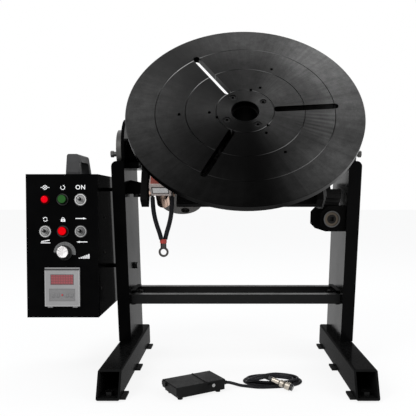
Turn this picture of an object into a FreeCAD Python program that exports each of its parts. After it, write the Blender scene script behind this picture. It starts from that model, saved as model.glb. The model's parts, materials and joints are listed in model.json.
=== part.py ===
import FreeCAD, Part
import math
import os

import Sketcher
from FreeCAD import Placement, Rotation, Vector

# A floor-standing welding positioner: a round faceplate that turns on a tilting cradle, between two
# columns.  Millimetres.  The frame's origin is on the floor, midway between the four foot ends:
# X to the right, Y to the back, Z up.  The cradle, the sloping control panel and the foot switch are
# modelled in frames of their own and then placed.

SIZES = {
    # stand
    "stand_width": 540, "foot_width": 46, "foot_height": 52, "foot_wall": 4, "foot_length": 420,
    "foot_setback": 33, "pad_height": 4, "pad_length": 40, "pad_reach": 8, "pad_front": -174,
    "pad_middle": 8, "pad_rear": 186, "foot_bolt_from_end": 22,
    "foot_bolt_radius": 5, "foot_bolt_flats": 17,
    "column_width": 28, "column_depth": 174, "column_wall": 4, "column_top": 456, "column_back_gap": 2,
    "column_corner": 12,
    "bar_size": 22, "bar_wall": 2.5, "bar_height": 139, "front_bar_inset": 27, "rear_bar_inset": 4,
    "bar_plate": 5, "bar_plate_height": 34,
    # tilt axis and trunnions
    "axis_y": 122, "axis_z": 477, "rest_tilt": 51,
    "ear_radius": 74, "ear_thickness": 7, "ear_inset": 20, "hub_radius": 52, "hub_thickness": 15,
    "shaft_radius": 12.5, "shaft_tip_radius": 5.5, "shaft_tip_length": 16, "shaft_nut_flats": 13,
    "shaft_nut_height": 7, "running_gap": 0.05,
    "clear_gap": 1.5, "block_radius": 34, "block_width": 25, "block_foot": 45, "bush_wall": 6,
    "neck_wall": 2,
    # tilt drive: worm trough and toothed sector
    "tooth_module": 4, "sector_teeth": 64, "worm_pitch_radius": 16, "pressure_angle": 20,
    "worm_thread_half": 28.2743, "tooth_gap": 0.4, "sector_x": 212, "sector_width": 32, "sector_rim": 11,
    "sector_web": 10, "sector_hub_radius": 32, "teeth_below": 8, "teeth_above": 10,
    "trough_left": 187, "trough_length": 148, "trough_above": 29, "trough_below": 27,
    "trough_wall": 7, "trough_top_chamfer": 15, "trough_foot_chamfer": 12,
    "worm_journal_radius": 10, "worm_bush_wall": 5, "socket_size": 9, "socket_depth": 14,
    "ring_radius": 18, "ring_wall": 2.7, "ring_height": 3,
    "bracket_z": 388, "bracket_height": 24, "bracket_reach": 28, "bracket_y": 92, "bracket_depth": 40,
    "bracket_wall": 3,
    # cradle, seen with its plate level
    "plate_left": -206, "plate_right": 185.5, "plate_front": -151, "plate_back": 130, "plate_thick": 10,
    "cheek_thick": 14, "cheek_rise": 42, "cheek_drop": 36, "cheek_end": 25,
    # faceplate and spindle
    "table_x": 17.35, "table_height": 125.6, "table_radius": 250, "table_thick": 14, "bore_radius": 29,
    "rim_chamfer": 1.2, "groove_1": 61, "groove_2": 125, "groove_3": 188, "groove_width": 1.6,
    "groove_depth": 1.0, "slot_inner": 67.5, "slot_outer": 189, "slot_width": 15, "slot_angle": 4,
    "screw_circle": 46, "screw_angle": 34, "screw_radius": 4, "screw_head_radius": 6.5,
    "screw_head_height": 8, "counterbore_radius": 7.5, "counterbore_depth": 9,
    "tap_radius": 3.4, "tap_circle_1": 62, "tap_angle_1": 78, "tap_circle_2": 75, "tap_angle_2": 64,
    "tap_circle_3": 138, "tap_angle_3": 64.5,
    "flange_radius": 60, "flange_thick": 10, "tube_radius": 36, "tube_bore": 26, "spindle_foot": 1,
    "nut_radius": 44, "nut_height": 8,
    "gear_module": 2.5, "gear_teeth": 64, "pinion_teeth": 16, "gear_width": 14, "gear_gap": 0.35,
    "pinion_over": 1,
    "pinion_back": 80,
    "pinion_y": 60, "pinion_shaft_radius": 8, "pinion_hole": 14,
    "housing_radius": 54, "housing_flange": 72, "housing_flange_thick": 10, "housing_height": 70,
    "bearing_outer": 46, "bearing_height": 14, "collar_radius": 22, "collar_length": 8,
    # spin drive
    "motor_x": -128, "motor_z": -58, "motor_radius": 50, "motor_front": -85.6, "bell_radius": 52,
    "bell_length": 16, "cable_hole_radius": 10, "cable_hole_x": 8, "cable_hole_drop": 37,
    "gearbox_front": 15, "gearbox_back": 105, "gearbox_depth": 112, "gearbox_left": -165,
    "gearbox_right": -24, "motor_fins": 7,
    # ground brush
    "brush_x": -160, "brush_front": -148, "brush_width": 41, "brush_depth": 30, "brush_foot": 34,
    "brush_top": 70, "rod_radius": 14.7, "rod_foot": -7, "rod_neck_radius": 9, "notch_half": 30,
    "notch_depth": 37, "stud_radius": 4, "stud_z": 24, "rod_y": -133, "lead_offset": 20.8,
    "lead_radius": 5, "lug_drop": 97.7, "nut_thick": 3.5, "eye_thick": 5, "barrel_radius": 6.5,
    "eye_radius": 11,
    "eye_hole_radius": 6.5, "angle_foot": 28, "angle_thick": 5,
    # control box
    "box_right": -290, "box_width": 150, "box_back": 135, "box_depth": 200, "box_foot": 134,
    "box_height": 293, "box_lean": 11.1, "box_wall": 2, "panel_thick": 2,
    "column_1": -35, "column_2": 2, "column_3": 39, "row_1": 245.5, "row_2": 179.5,
    "lamp_radius": 8.4, "bezel_radius": 12, "bezel_height": 3.5, "button_radius": 9.6,
    "button_height": 9, "button_travel": 3, "toggle_plate_radius": 13, "toggle_nut_radius": 8.5,
    "lever_length": 17, "lever_pivot": 4,
    "lever_tip_radius": 3.2, "bush_radius": 5.5, "bush_height": 8, "bush_bore": 3.8,
    "lamp_shank_radius": 6, "stem_radius": 3, "stem_gap": 0.3, "shank_length": 10, "knob_x": 5,
    "knob_y": 135, "knob_radius": 15.5, "knob_height": 17,
    "knob_cap_radius": 11.8, "scale_radius": 23, "scale_thick": 0.8, "meter_x": 0.5, "meter_y": 62.3,
    "meter_width": 72.6,
    "meter_height": 78, "meter_proud": 6, "window_depth": 2.5, "window_half": 23.3,
    "window_low": 6.7, "window_high": 26.7, "keys_half": 27, "keys_low": -28.3, "keys_high": -2.3,
    "socket_row": 40, "socket_spacing": 32, "socket_wall": 1.5, "socket_floor": 3,
    "socket_reach": 9, "plug_gap": 0.2, "wall_bracket_1": 222, "wall_bracket_2": 398,
    "handle_x": -345, "handle_width": 30,
    "handle_front": 6, "handle_length": 100, "handle_height": 42,
    "handle_post": 14, "handle_round": 5,
    # foot switch and its cable
    "pedal_x": -115, "pedal_y": -204, "pedal_yaw": 31, "pedal_length": 106, "pedal_width": 64,
    "pedal_foot": 5, "pedal_foot_inset": 11, "pedal_foot_radius": 5, "pedal_low": 17,
    "pedal_high": 24, "pedal_skin": 2, "treadle_thick": 3.4,
    "treadle_gap": 0.6, "skirt_length": 66, "skirt_drop": 7, "pin_x": 80, "pin_z": 18, "pin_radius": 2.5,
    "cord_radius": 3.2, "coil_x": 73, "coil_y": -92, "coil_half_x": 66, "coil_half_y": 40,
    "coil_band": 27, "coil_height": 12, "pedal_inset": 2.5, "plug_radius": 8,
    "plug_length": 34, "insert_radius": 6.4, "boot_radius": 4.75, "boot_length": 20,
}


class Size:
    """A length or angle: its value, and the sheet formula that gives it."""

    def __init__(self, value, formula):
        self.value = float(value)
        self.formula = formula

    def __add__(self, other):
        other = as_size(other)
        return Size(self.value + other.value, f"({self.formula} + {other.formula})")

    def __sub__(self, other):
        other = as_size(other)
        return Size(self.value - other.value, f"({self.formula} - {other.formula})")

    def __mul__(self, other):
        other = as_size(other)
        return Size(self.value * other.value, f"({self.formula} * {other.formula})")

    def __truediv__(self, other):
        other = as_size(other)
        return Size(self.value / other.value, f"({self.formula} / {other.formula})")

    def __neg__(self):
        return self * -1

    def __radd__(self, other):
        return as_size(other) + self

    def __rsub__(self, other):
        return as_size(other) - self

    def __rmul__(self, other):
        return as_size(other) * self


def as_size(number):
    if isinstance(number, Size):
        return number
    return Size(number, f"{number:.9g}" if number >= 0 else f"({number:.9g})")


def sin(angle):
    angle = as_size(angle)
    return Size(math.sin(math.radians(angle.value)), f"sin({angle.formula})")


def cos(angle):
    angle = as_size(angle)
    return Size(math.cos(math.radians(angle.value)), f"cos({angle.formula})")


doc = FreeCAD.newDocument("welding_positioner")
sheet = doc.addObject("Spreadsheet::Sheet", "Sizes")
for row, (alias, number) in enumerate(SIZES.items(), start=1):
    sheet.set(f"A{row}", alias)
    sheet.set(f"B{row}", str(number))
    sheet.setAlias(f"B{row}", alias)
doc.recompute()


class Sheet:
    """s.foot_width is the size in the cell of that name."""

    def __getattr__(self, alias):
        return Size(SIZES[alias], f"Sizes.{alias}")


s = Sheet()
nodes = []


def node(obj, label):
    """Keep an object as a sub-part of the machine."""
    obj.Label = label
    nodes.append(obj)
    return obj


def bind(obj, **sizes):
    """Bind properties to sheet formulas; a double underscore stands for a dot."""
    for name, size in sizes.items():
        obj.setExpression(name.replace("__", "."), as_size(size).formula)


# ---------------------------------------------------------------- frames

def in_cradle(obj):
    """Cradle parts are drawn level about the tilt axis, then tilted to the rest position."""
    obj.Placement = Placement(Vector(0, s.axis_y.value, s.axis_z.value),
                              Rotation(Vector(1, 0, 0), s.rest_tilt.value))
    bind(obj, Placement__Base__y=s.axis_y, Placement__Base__z=s.axis_z,
         Placement__Rotation__Angle=s.rest_tilt)
    return obj


def on_panel(obj, across, up, proud=0):
    """Panel parts are drawn with Z out of the panel, then set on its sloping face."""
    across, up, proud = as_size(across), as_size(up), as_size(proud)
    x = s.box_right - s.box_width / 2 + across
    y = s.box_back - s.box_depth + up * sin(s.box_lean) - proud * cos(s.box_lean)
    z = s.box_foot + up * cos(s.box_lean) + proud * sin(s.box_lean)
    obj.Placement = Placement(Vector(x.value, y.value, z.value),
                              Rotation(Vector(1, 0, 0), 90 - s.box_lean.value))
    bind(obj, Placement__Base__x=x, Placement__Base__y=y, Placement__Base__z=z,
         Placement__Rotation__Angle=90 - s.box_lean)
    return obj


def by_pedal(obj):
    """Foot switch parts are drawn square, then turned on the floor."""
    obj.Placement = Placement(Vector(s.pedal_x.value, s.pedal_y.value, 0),
                              Rotation(Vector(0, 0, 1), s.pedal_yaw.value))
    bind(obj, Placement__Base__x=s.pedal_x, Placement__Base__y=s.pedal_y,
         Placement__Rotation__Angle=s.pedal_yaw)
    return obj


# ---------------------------------------------------------------- solids

def block(low, high):
    """A box between two corners."""
    low = [as_size(v) for v in low]
    high = [as_size(v) for v in high]
    box = doc.addObject("Part::Box", "block")
    bind(box, Placement__Base__x=low[0], Placement__Base__y=low[1], Placement__Base__z=low[2],
         Length=high[0] - low[0], Width=high[1] - low[1], Height=high[2] - low[2])
    return box


AXES = {"X": Rotation(Vector(0, 1, 0), 90), "Y": Rotation(Vector(1, 0, 0), -90), "Z": Rotation()}


def rod(start, axis, radius, length):
    """A cylinder from a start point along +X, +Y or +Z."""
    rod_body = doc.addObject("Part::Cylinder", "rod")
    rod_body.Placement = Placement(Vector(), AXES[axis])
    start = [as_size(v) for v in start]
    bind(rod_body, Placement__Base__x=start[0], Placement__Base__y=start[1], Placement__Base__z=start[2],
         Radius=radius, Height=length)
    return rod_body


def hexagon(start, axis, flats, length):
    """A hexagonal prism from a start point along +X, +Y or +Z."""
    prism = doc.addObject("Part::Prism", "hexagon")
    prism.Polygon = 6
    prism.Placement = Placement(Vector(), AXES[axis])
    start = [as_size(v) for v in start]
    bind(prism, Placement__Base__x=start[0], Placement__Base__y=start[1], Placement__Base__z=start[2],
         Circumradius=as_size(flats) / math.sqrt(3), Height=length)
    return prism


def fused(*shapes):
    fuse = doc.addObject("Part::MultiFuse", "fuse")
    fuse.Shapes = list(shapes)
    return fuse


def cut(base, *tools):
    remainder = doc.addObject("Part::Cut", "cut")
    remainder.Base = base
    remainder.Tool = tools[0] if len(tools) == 1 else fused(*tools)
    return remainder


def ring(start, axis, outer, inner, length):
    return cut(rod(start, axis, outer, length), rod(start, axis, inner, length))


def group(*shapes):
    """Separate solids kept in one node."""
    compound = doc.addObject("Part::Compound", "group")
    compound.Links = list(shapes)
    return compound


# ---------------------------------------------------------------- PartDesign bodies

def new_body():
    return doc.addObject("PartDesign::Body", "body")


def origin_part(body, role):
    return next(f for f in body.Origin.OriginFeatures if f.Role == role)


def sketch(body, plane, start, *loops):
    """A sketch on one of the body's own planes.  A loop is a list of corners or ("circle", x, y, r)."""
    outline = body.newObject("Sketcher::SketchObject", "sketch")
    outline.AttachmentSupport = [(origin_part(body, plane + "_Plane"), "")]
    outline.MapMode = "FlatFace"
    start = as_size(start)
    bind(outline, AttachmentOffset__Base__z=-start if plane == "XZ" else start)
    for loop in loops:
        if loop[0] == "circle":
            add_circle(outline, *[as_size(v) for v in loop[1:]])
        else:
            add_polygon(outline, [(as_size(x), as_size(y)) for x, y in loop])
    return outline


def pin_point(outline, geometry, corner, x, y):
    for kind, size in (("DistanceX", x), ("DistanceY", y)):
        index = outline.addConstraint(Sketcher.Constraint(kind, -1, 1, geometry, corner, size.value))
        outline.setExpression(f"Constraints[{index}]", size.formula)


def add_polygon(outline, points):
    first = outline.GeometryCount
    count = len(points)
    for i, (x, y) in enumerate(points):
        nx, ny = points[(i + 1) % count]
        outline.addGeometry(Part.LineSegment(Vector(x.value, y.value, 0), Vector(nx.value, ny.value, 0)))
    for i in range(count):
        outline.addConstraint(Sketcher.Constraint("Coincident", first + i, 2, first + (i + 1) % count, 1))
    for i, (x, y) in enumerate(points):
        pin_point(outline, first + i, 1, x, y)


def add_circle(outline, x, y, radius):
    index = outline.addGeometry(Part.Circle(Vector(x.value, y.value, 0), Vector(0, 0, 1), radius.value))
    pin_point(outline, index, 3, x, y)
    constraint = outline.addConstraint(Sketcher.Constraint("Radius", index, radius.value))
    outline.setExpression(f"Constraints[{constraint}]", radius.formula)


def rectangle(x0, y0, x1, y1):
    return [(x0, y0), (x1, y0), (x1, y1), (x0, y1)]


def grow(body, kind, outline, **sizes):
    """Add a feature, and check that it added or took away material."""
    before = body.Shape.Volume if body.Shape and not body.Shape.isNull() else 0.0
    feature = body.newObject("PartDesign::" + kind, kind.lower())
    feature.Profile = (outline, [""])
    bind(feature, **sizes)
    outline.Visibility = False
    return feature, before


def pad(body, plane, start, length, *loops):
    """Material from start to start + length along the plane's world axis."""
    feature, _ = grow(body, "Pad", sketch(body, plane, start, *loops), Length=length)
    feature.Reversed = plane == "XZ"
    doc.recompute()
    return feature


def pocket(body, plane, start, length, *loops):
    """Material taken away from start to start + length along the plane's world axis."""
    feature, before = grow(body, "Pocket", sketch(body, plane, start, *loops), Length=length)
    feature.Reversed = plane != "XZ"
    doc.recompute()
    if not body.Shape.Volume < before:
        raise RuntimeError("a pocket cut nothing in " + body.Label)
    return feature


def turn(body, points, axis="V_Axis", kind="Revolution"):
    """A turned solid: corners in the XZ plane, about the vertical or horizontal sketch axis."""
    outline = sketch(body, "XZ", 0, points)
    feature, before = grow(body, kind, outline)
    feature.ReferenceAxis = (outline, [axis])
    feature.Angle = 360
    doc.recompute()
    if kind == "Groove" and not body.Shape.Volume < before:
        raise RuntimeError("a groove cut nothing in " + body.Label)
    return feature


def pattern(body, features, count, angle=360):
    """Copies of features about the body's Z axis."""
    polar = body.newObject("PartDesign::PolarPattern", "pattern")
    polar.Originals = list(features)
    polar.Axis = (origin_part(body, "Z_Axis"), [""])
    polar.Angle = angle
    polar.Occurrences = count
    body.Tip = polar
    doc.recompute()
    return polar


def dress(body, kind, size, wanted):
    """A fillet or chamfer on the edges that wanted(edge) picks."""
    tip = body.Tip
    names = [f"Edge{i}" for i, edge in enumerate(tip.Shape.Edges, start=1) if wanted(edge)]
    if not names:
        raise RuntimeError("no edges to dress on " + body.Label)
    feature = body.newObject("PartDesign::" + kind, kind.lower())
    feature.Base = (tip, names)
    bind(feature, **{"Radius" if kind == "Fillet" else "Size": size})
    doc.recompute()
    return feature


# ---------------------------------------------------------------- stand

half = s.stand_width / 2
foot_half = s.foot_length / 2
foot_top = s.pad_height + s.foot_height
column_inner = half - s.column_width
column_back = foot_half - s.column_back_gap
column_front = column_back - s.column_depth
floor_top = s.pad_height + s.foot_wall
bolt_y = foot_half - s.foot_bolt_from_end
SIDES = (-1, 1)


def spread(side, near, far):
    """The lower and higher X of something between two distances from the middle plane."""
    return (side * far, side * near) if side < 0 else (side * near, side * far)


def foot(label, side):
    """A rectangular tube on its floor pads, its front end cut back."""
    x0, x1 = spread(side, half - s.foot_width, half)
    body = new_body()
    pad(body, "YZ", x0, s.foot_width,
        [(-foot_half, s.pad_height), (foot_half, s.pad_height), (foot_half, foot_top),
         (s.foot_setback - foot_half, foot_top)])
    dress(body, "Fillet", s.foot_wall, lambda e: abs(e.tangentAt(e.FirstParameter).y) > 0.99)
    pocket(body, "XZ", -foot_half, s.foot_length,
           rectangle(x0 + s.foot_wall, floor_top, x1 - s.foot_wall, foot_top - s.foot_wall))
    middle = side * (half - s.foot_width / 2)
    pocket(body, "XY", s.pad_height, s.foot_wall,
           ("circle", middle, -bolt_y, s.foot_bolt_radius + 0.3),
           ("circle", middle, bolt_y, s.foot_bolt_radius + 0.3))
    return node(body, label)


def rubber_foot(side, y):
    """A floor pad that shows a little on the inner side of its foot tube."""
    x0, x1 = spread(side, half - s.foot_width - s.pad_reach, half - s.pad_reach)
    return block((x0, y - s.pad_length / 2, 0), (x1, y + s.pad_length / 2, s.pad_height))


def column(label, side):
    """A box column with its outer top corner rounded, open at the bottom where it is welded on."""
    x0, x1 = spread(side, column_inner, half)
    body = new_body()
    pad(body, "XZ", column_front, s.column_depth, rectangle(x0, foot_top, x1, s.column_top))
    outer = (side * half).value
    dress(body, "Fillet", s.column_corner,
          lambda e: abs(e.BoundBox.XMin - outer) < 1e-3 and abs(e.BoundBox.XMax - outer) < 1e-3
          and e.BoundBox.ZMin > s.column_top.value - 1)
    pocket(body, "XY", foot_top, s.column_top - foot_top - s.column_corner - s.column_wall,
           rectangle(x0 + s.column_wall, column_front + s.column_wall,
                     x1 - s.column_wall, column_back - s.column_wall))
    return node(body, label)


front_bar_y = column_front + s.front_bar_inset
rear_bar_y = column_back - s.rear_bar_inset - s.bar_size


def crossbar(y):
    """A square tube between the columns."""
    wall = s.bar_wall
    outside = block((-column_inner, y, s.bar_height),
                    (column_inner, y + s.bar_size, s.bar_height + s.bar_size))
    inside = block((-column_inner, y + wall, s.bar_height + wall),
                   (column_inner, y + s.bar_size - wall, s.bar_height + s.bar_size - wall))
    return cut(outside, inside)


plate_low = s.bar_height - (s.bar_plate_height - s.bar_size) / 2


def crossbar_plate(side):
    """The end plate that ties both crossbars to a column."""
    x0, x1 = spread(side, column_inner - s.bar_plate, column_inner)
    return block((x0, front_bar_y + s.bar_size, plate_low),
                 (x1, rear_bar_y, plate_low + s.bar_plate_height))


def ear(side):
    """A round-topped plate on the column's top."""
    x0, x1 = spread(side, half - s.ear_inset - s.ear_thickness, half - s.ear_inset)
    disc = rod((x0, s.axis_y, s.axis_z), "X", s.ear_radius, s.ear_thickness)
    below = block((x0 - 1, s.axis_y - s.ear_radius * 1.1, s.axis_z - s.ear_radius * 1.1),
                  (x1 + 1, s.axis_y + s.ear_radius * 1.1, s.column_top))
    hole = rod((x0, s.axis_y, s.axis_z), "X", s.shaft_radius + s.clear_gap, s.ear_thickness)
    return cut(disc, below, hole)


def hub(side):
    """The bright round hub against the outside of an ear, its foot on the column."""
    x0, x1 = spread(side, half - s.ear_inset, hub_outer)
    start = (x0, s.axis_y, s.axis_z)
    disc = rod(start, "X", s.hub_radius, s.hub_thickness)
    below = block((x0 - 1, s.axis_y - s.hub_radius * 1.1, s.axis_z - s.hub_radius * 1.1),
                  (x1 + 1, s.axis_y + s.hub_radius * 1.1, s.column_top))
    hole = rod(start, "X", s.shaft_radius + s.clear_gap, s.hub_thickness)
    return cut(disc, below, hole)


ear_inner = half - s.ear_inset - s.ear_thickness
hub_outer = half - s.ear_inset + s.hub_thickness
block_inner = ear_inner - s.block_width
bush_outer = s.shaft_radius + s.running_gap + s.bush_wall


def bearing_block(side):
    """A bearing block inside an ear: a round body with a foot flange, and a neck that meets the ear."""
    x0, x1 = spread(side, block_inner, column_inner)
    n0, _ = spread(side, column_inner, ear_inner)
    all0, _ = spread(side, block_inner, ear_inner)
    round_body = rod((x0, s.axis_y, s.axis_z), "X", s.block_radius, column_inner - block_inner)
    flange = block((x0, s.axis_y - s.block_foot, s.axis_z - s.block_radius),
                   (x1, s.axis_y + s.block_foot, s.column_top))
    neck = rod((n0, s.axis_y, s.axis_z), "X", bush_outer + s.neck_wall, ear_inner - column_inner)
    bore = rod((all0, s.axis_y, s.axis_z), "X", bush_outer, s.block_width)
    return cut(fused(round_body, flange, neck), bore)


def trunnion_bush(side):
    x0, x1 = spread(side, block_inner, ear_inner)
    return ring((x0, s.axis_y, s.axis_z), "X", bush_outer, s.shaft_radius + s.running_gap, s.block_width)


def hex_bolt(x, y, z, axis, way, flats=13, head=5.5, washer=8, washer_thick=1.6):
    """A bolt head on its washer; way is +1 where the head stands out along the axis, -1 against it."""
    flats, head = as_size(flats), as_size(head)
    place = {"X": 0, "Y": 1, "Z": 2}[axis]
    seat = [as_size(x), as_size(y), as_size(z)]
    washer_start = list(seat)
    head_start = list(seat)
    if way < 0:
        washer_start[place] = seat[place] - washer_thick
        head_start[place] = seat[place] - washer_thick - head
    else:
        head_start[place] = seat[place] + washer_thick
    return fused(rod(washer_start, axis, washer, washer_thick), hexagon(head_start, axis, flats, head))


def foot_bolt(side, y):
    """A bolt that holds a floor pad: its head inside the foot tube, its shank down into the pad."""
    x = side * (half - s.foot_width / 2)
    shank = rod((x, y, s.pad_height), "Z", s.foot_bolt_radius, s.foot_wall)
    return fused(shank, hex_bolt(x, y, floor_top, "Z", 1, s.foot_bolt_flats, 6.4, 10, 2))


def stop_bracket():
    """A gusseted bracket on the inner side of the left column."""
    body = new_body()
    x1 = -column_inner
    top = s.bracket_z + s.bracket_height
    pad(body, "XZ", s.bracket_y, s.bracket_depth,
        [(x1, s.bracket_z), (x1 + s.bracket_reach, s.bracket_z), (x1 + s.bracket_reach, top), (x1, top)])
    pad(body, "XZ", s.bracket_y + s.bracket_depth / 2, s.bracket_depth / 8,
        [(x1, top - 1), (x1 + s.bracket_reach, top - 1), (x1 + s.bracket_reach, top + 1),
         (x1, top + s.bracket_reach / 4)])
    wall = s.bracket_wall
    pocket(body, "YZ", x1 + wall, s.bracket_reach - wall,
           rectangle(s.bracket_y + wall, s.bracket_z + wall,
                     s.bracket_y + s.bracket_depth - wall, top - wall))
    return node(body, "stop_bracket")


# ---------------------------------------------------------------- tilt drive

worm_z = s.axis_z - s.tooth_module * s.sector_teeth / 2 - s.worm_pitch_radius
trough_front = s.axis_y - s.trough_length / 2
trough_back = s.axis_y + s.trough_length / 2
worm_bush_outer = s.worm_journal_radius + s.running_gap + s.worm_bush_wall
worm_tip = s.worm_pitch_radius + s.tooth_module


def worm_trough():
    """A cast trough on the right column: the worm lies in it and the sector dips in from above."""
    body = new_body()
    low = worm_z - s.trough_below
    high = worm_z + s.trough_above
    left = s.trough_left
    pad(body, "XZ", trough_front, s.trough_length,
        [(left + s.trough_foot_chamfer, low), (column_inner, low), (column_inner, high),
         (left + s.trough_top_chamfer, high), (left, high - s.trough_top_chamfer),
         (left, low + s.trough_foot_chamfer)])
    inner_front = trough_front + s.trough_wall
    inner_length = s.trough_length - s.trough_wall * 2
    cavity = worm_tip + s.clear_gap
    pocket(body, "XZ", inner_front, inner_length, ("circle", s.sector_x, worm_z, cavity))
    slot_half = s.sector_width / 2 + s.clear_gap
    pocket(body, "XY", worm_z, s.trough_above,
           rectangle(s.sector_x - slot_half, inner_front,
                     s.sector_x + slot_half, inner_front + inner_length))
    pocket(body, "XZ", trough_front, s.trough_length, ("circle", s.sector_x, worm_z, worm_bush_outer))
    return node(body, "worm_trough")


def worm_bush(y):
    return ring((s.sector_x, y, worm_z), "Y", worm_bush_outer, s.worm_journal_radius + s.running_gap,
                s.trough_wall)


def tilt_worm():
    """The worm: a shaft with a helical thread, and a square socket for a crank in its front end."""
    body = new_body()
    root_radius = s.worm_pitch_radius - s.tooth_module * 1.25
    shoulder = s.trough_length / 2 - s.trough_wall - s.clear_gap
    end = s.trough_length / 2
    turn(body, [(0, -end), (s.worm_journal_radius, -end), (s.worm_journal_radius, -shoulder),
                (root_radius, -shoulder), (root_radius, shoulder), (s.worm_journal_radius, shoulder),
                (s.worm_journal_radius, end), (0, end)])
    slant = math.tan(math.radians(SIZES["pressure_angle"]))
    pitch_half = s.tooth_module * (math.pi / 4) - s.tooth_gap / 2
    tip_half = pitch_half - s.tooth_module * slant
    sunk = s.tooth_module * 1.25 + 0.5
    foot_half_width = pitch_half + sunk * slant
    start = -s.worm_thread_half
    thread_length = s.worm_thread_half * 2
    foot_radius = s.worm_pitch_radius - sunk
    outline = sketch(body, "XZ", 0,
                     [(foot_radius, start - foot_half_width), (worm_tip, start - tip_half),
                      (worm_tip, start + tip_half), (foot_radius, start + foot_half_width)])
    thread = body.newObject("PartDesign::AdditiveHelix", "thread")
    thread.Profile = (outline, [""])
    thread.ReferenceAxis = (origin_part(body, "Z_Axis"), [""])
    thread.Mode = 0
    bind(thread, Pitch=s.tooth_module * math.pi, Height=thread_length)
    doc.recompute()
    half_socket = s.socket_size / 2
    pocket(body, "XY", end - s.socket_depth, s.socket_depth,
           rectangle(-half_socket, -half_socket, half_socket, half_socket))
    body.Placement = Placement(Vector(0, 0, 0), Rotation(Vector(1, 0, 0), 90))
    bind(body, Placement__Base__x=s.sector_x, Placement__Base__y=s.axis_y, Placement__Base__z=worm_z)
    return node(body, "tilt_worm")


def tilt_sector():
    """The toothed sector on the right cheek: hub, web and a wide rim with slanted teeth."""
    module = s.tooth_module.value
    pitch = module * s.sector_teeth.value / 2
    root_radius = pitch - module * 1.25
    rim_in = root_radius - s.sector_rim.value
    step = 360 / s.sector_teeth.value
    below, above = int(s.teeth_below.value), int(s.teeth_above.value)
    over_worm = -90 - s.rest_tilt.value
    x0 = (s.sector_x - s.sector_width / 2).value
    width, web = s.sector_width.value, s.sector_web.value
    hub_start = s.plate_right.value
    along = Vector(1, 0, 0)

    def wedge(radius, length):
        """A slice of a disc as wide as the toothed part."""
        pie = Part.makeCylinder(radius, length, Vector(x0, 0, 0), along, (below + above) * step)
        pie.rotate(Vector(), along, over_worm - below * step - 90)
        return pie

    rim = wedge(root_radius, width).cut(Part.makeCylinder(rim_in, width, Vector(x0, 0, 0), along))
    hub_part = Part.makeCylinder(s.sector_hub_radius.value, x0 + web - hub_start + 4,
                                 Vector(hub_start, 0, 0), along)
    teeth = [sector_tooth(root_radius, x0, over_worm + (n + 0.5) * step) for n in range(-below, above)]
    solid = rim.fuse([wedge(rim_in + 1, web), hub_part] + teeth)
    solid = solid.cut(Part.makeCylinder(s.shaft_radius.value, 200, Vector(hub_start - 1, 0, 0), along))
    sector = doc.addObject("Part::Feature", "sector")
    sector.Shape = solid.removeSplitter()
    return node(in_cradle(sector), "tilt_sector")


def sector_tooth(root_radius, x0, angle):
    """One tooth as a loft between two end profiles, slanted as the worm's thread is."""
    module, count, width = s.tooth_module.value, s.sector_teeth.value, s.sector_width.value
    pitch = module * count / 2
    pressure = math.radians(s.pressure_angle.value)
    slope = module / (2 * s.worm_pitch_radius.value)

    def half_thickness(radius):
        """Half an involute tooth's thickness at a radius."""
        at = math.acos(min(1, pitch * math.cos(pressure) / radius))
        flank = math.tan(pressure) - pressure - math.tan(at) + at
        return radius * (math.pi / (2 * count) + flank) - s.tooth_gap.value / 2

    radii = [root_radius - 0.5, pitch, pitch + module]
    ends = []
    for x in (x0, x0 + width):
        shift = (x - x0 - width / 2) * slope
        left = [Vector(x, r, shift - half_thickness(r)) for r in radii]
        right = [Vector(x, r, shift + half_thickness(r)) for r in reversed(radii)]
        ends.append(Part.makePolygon(left + right + left[:1]))
    tooth = Part.makeLoft(ends, True, True)
    tooth.rotate(Vector(), Vector(1, 0, 0), angle)
    return tooth


# ---------------------------------------------------------------- control box

panel_length = s.box_height / cos(s.box_lean)
panel_x = s.box_right - s.box_width / 2


def box_shell():
    """A sheet-metal housing, open where the sloping panel closes it."""
    body = new_body()
    left, right = s.box_right - s.box_width, s.box_right
    top = s.box_foot + s.box_height
    front_low = s.box_back - s.box_depth + s.panel_thick / cos(s.box_lean)
    front_high = front_low + s.box_height * sin(s.box_lean) / cos(s.box_lean)
    pad(body, "YZ", left, s.box_width,
        [(front_low, s.box_foot), (s.box_back, s.box_foot), (s.box_back, top), (front_high, top)])
    wall = s.box_wall
    pocket(body, "YZ", left + wall, s.box_width - wall * 2,
           [(front_low - 5, s.box_foot + wall), (s.box_back - wall, s.box_foot + wall),
            (s.box_back - wall, top - wall), (front_high - 5, top - wall)])
    return node(body, "box_shell")


def box_panel():
    """The sloping front plate with its holes."""
    body = new_body()
    half_width = s.box_width / 2
    hole = s.stem_radius + s.stem_gap
    pad(body, "XY", -s.panel_thick, s.panel_thick,
        rectangle(-half_width, 0, half_width, panel_length),
        ("circle", s.column_1, s.row_1, s.lamp_shank_radius),
        ("circle", s.column_2, s.row_1, hole), ("circle", s.column_2, s.row_2, hole),
        ("circle", s.column_3, s.row_1, s.bush_radius), ("circle", s.column_1, s.row_2, s.bush_radius),
        ("circle", s.column_3, s.row_2, s.bush_radius), ("circle", s.knob_x, s.knob_y, hole))
    return node(on_panel(body, 0, 0), "box_panel")


def pilot_lamp():
    body = new_body()
    radius = s.lamp_radius
    turn(body, [(0, -s.shank_length), (s.lamp_shank_radius, -s.shank_length), (s.lamp_shank_radius, 0),
                (radius + 1.2, 0), (radius + 1.2, 1.5), (radius, 1.5), (radius, 3.5),
                (radius * 0.8, 5.4), (radius * 0.45, 6.5), (0, 6.9)])
    return node(on_panel(body, s.column_1, s.row_1), "pilot_lamp")


def button_bezel(row):
    """A dark ring on the panel round a button."""
    return on_panel(ring((0, 0, 0), "Z", s.bezel_radius, s.button_radius + s.stem_gap, s.bezel_height),
                    s.column_2, row)


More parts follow.
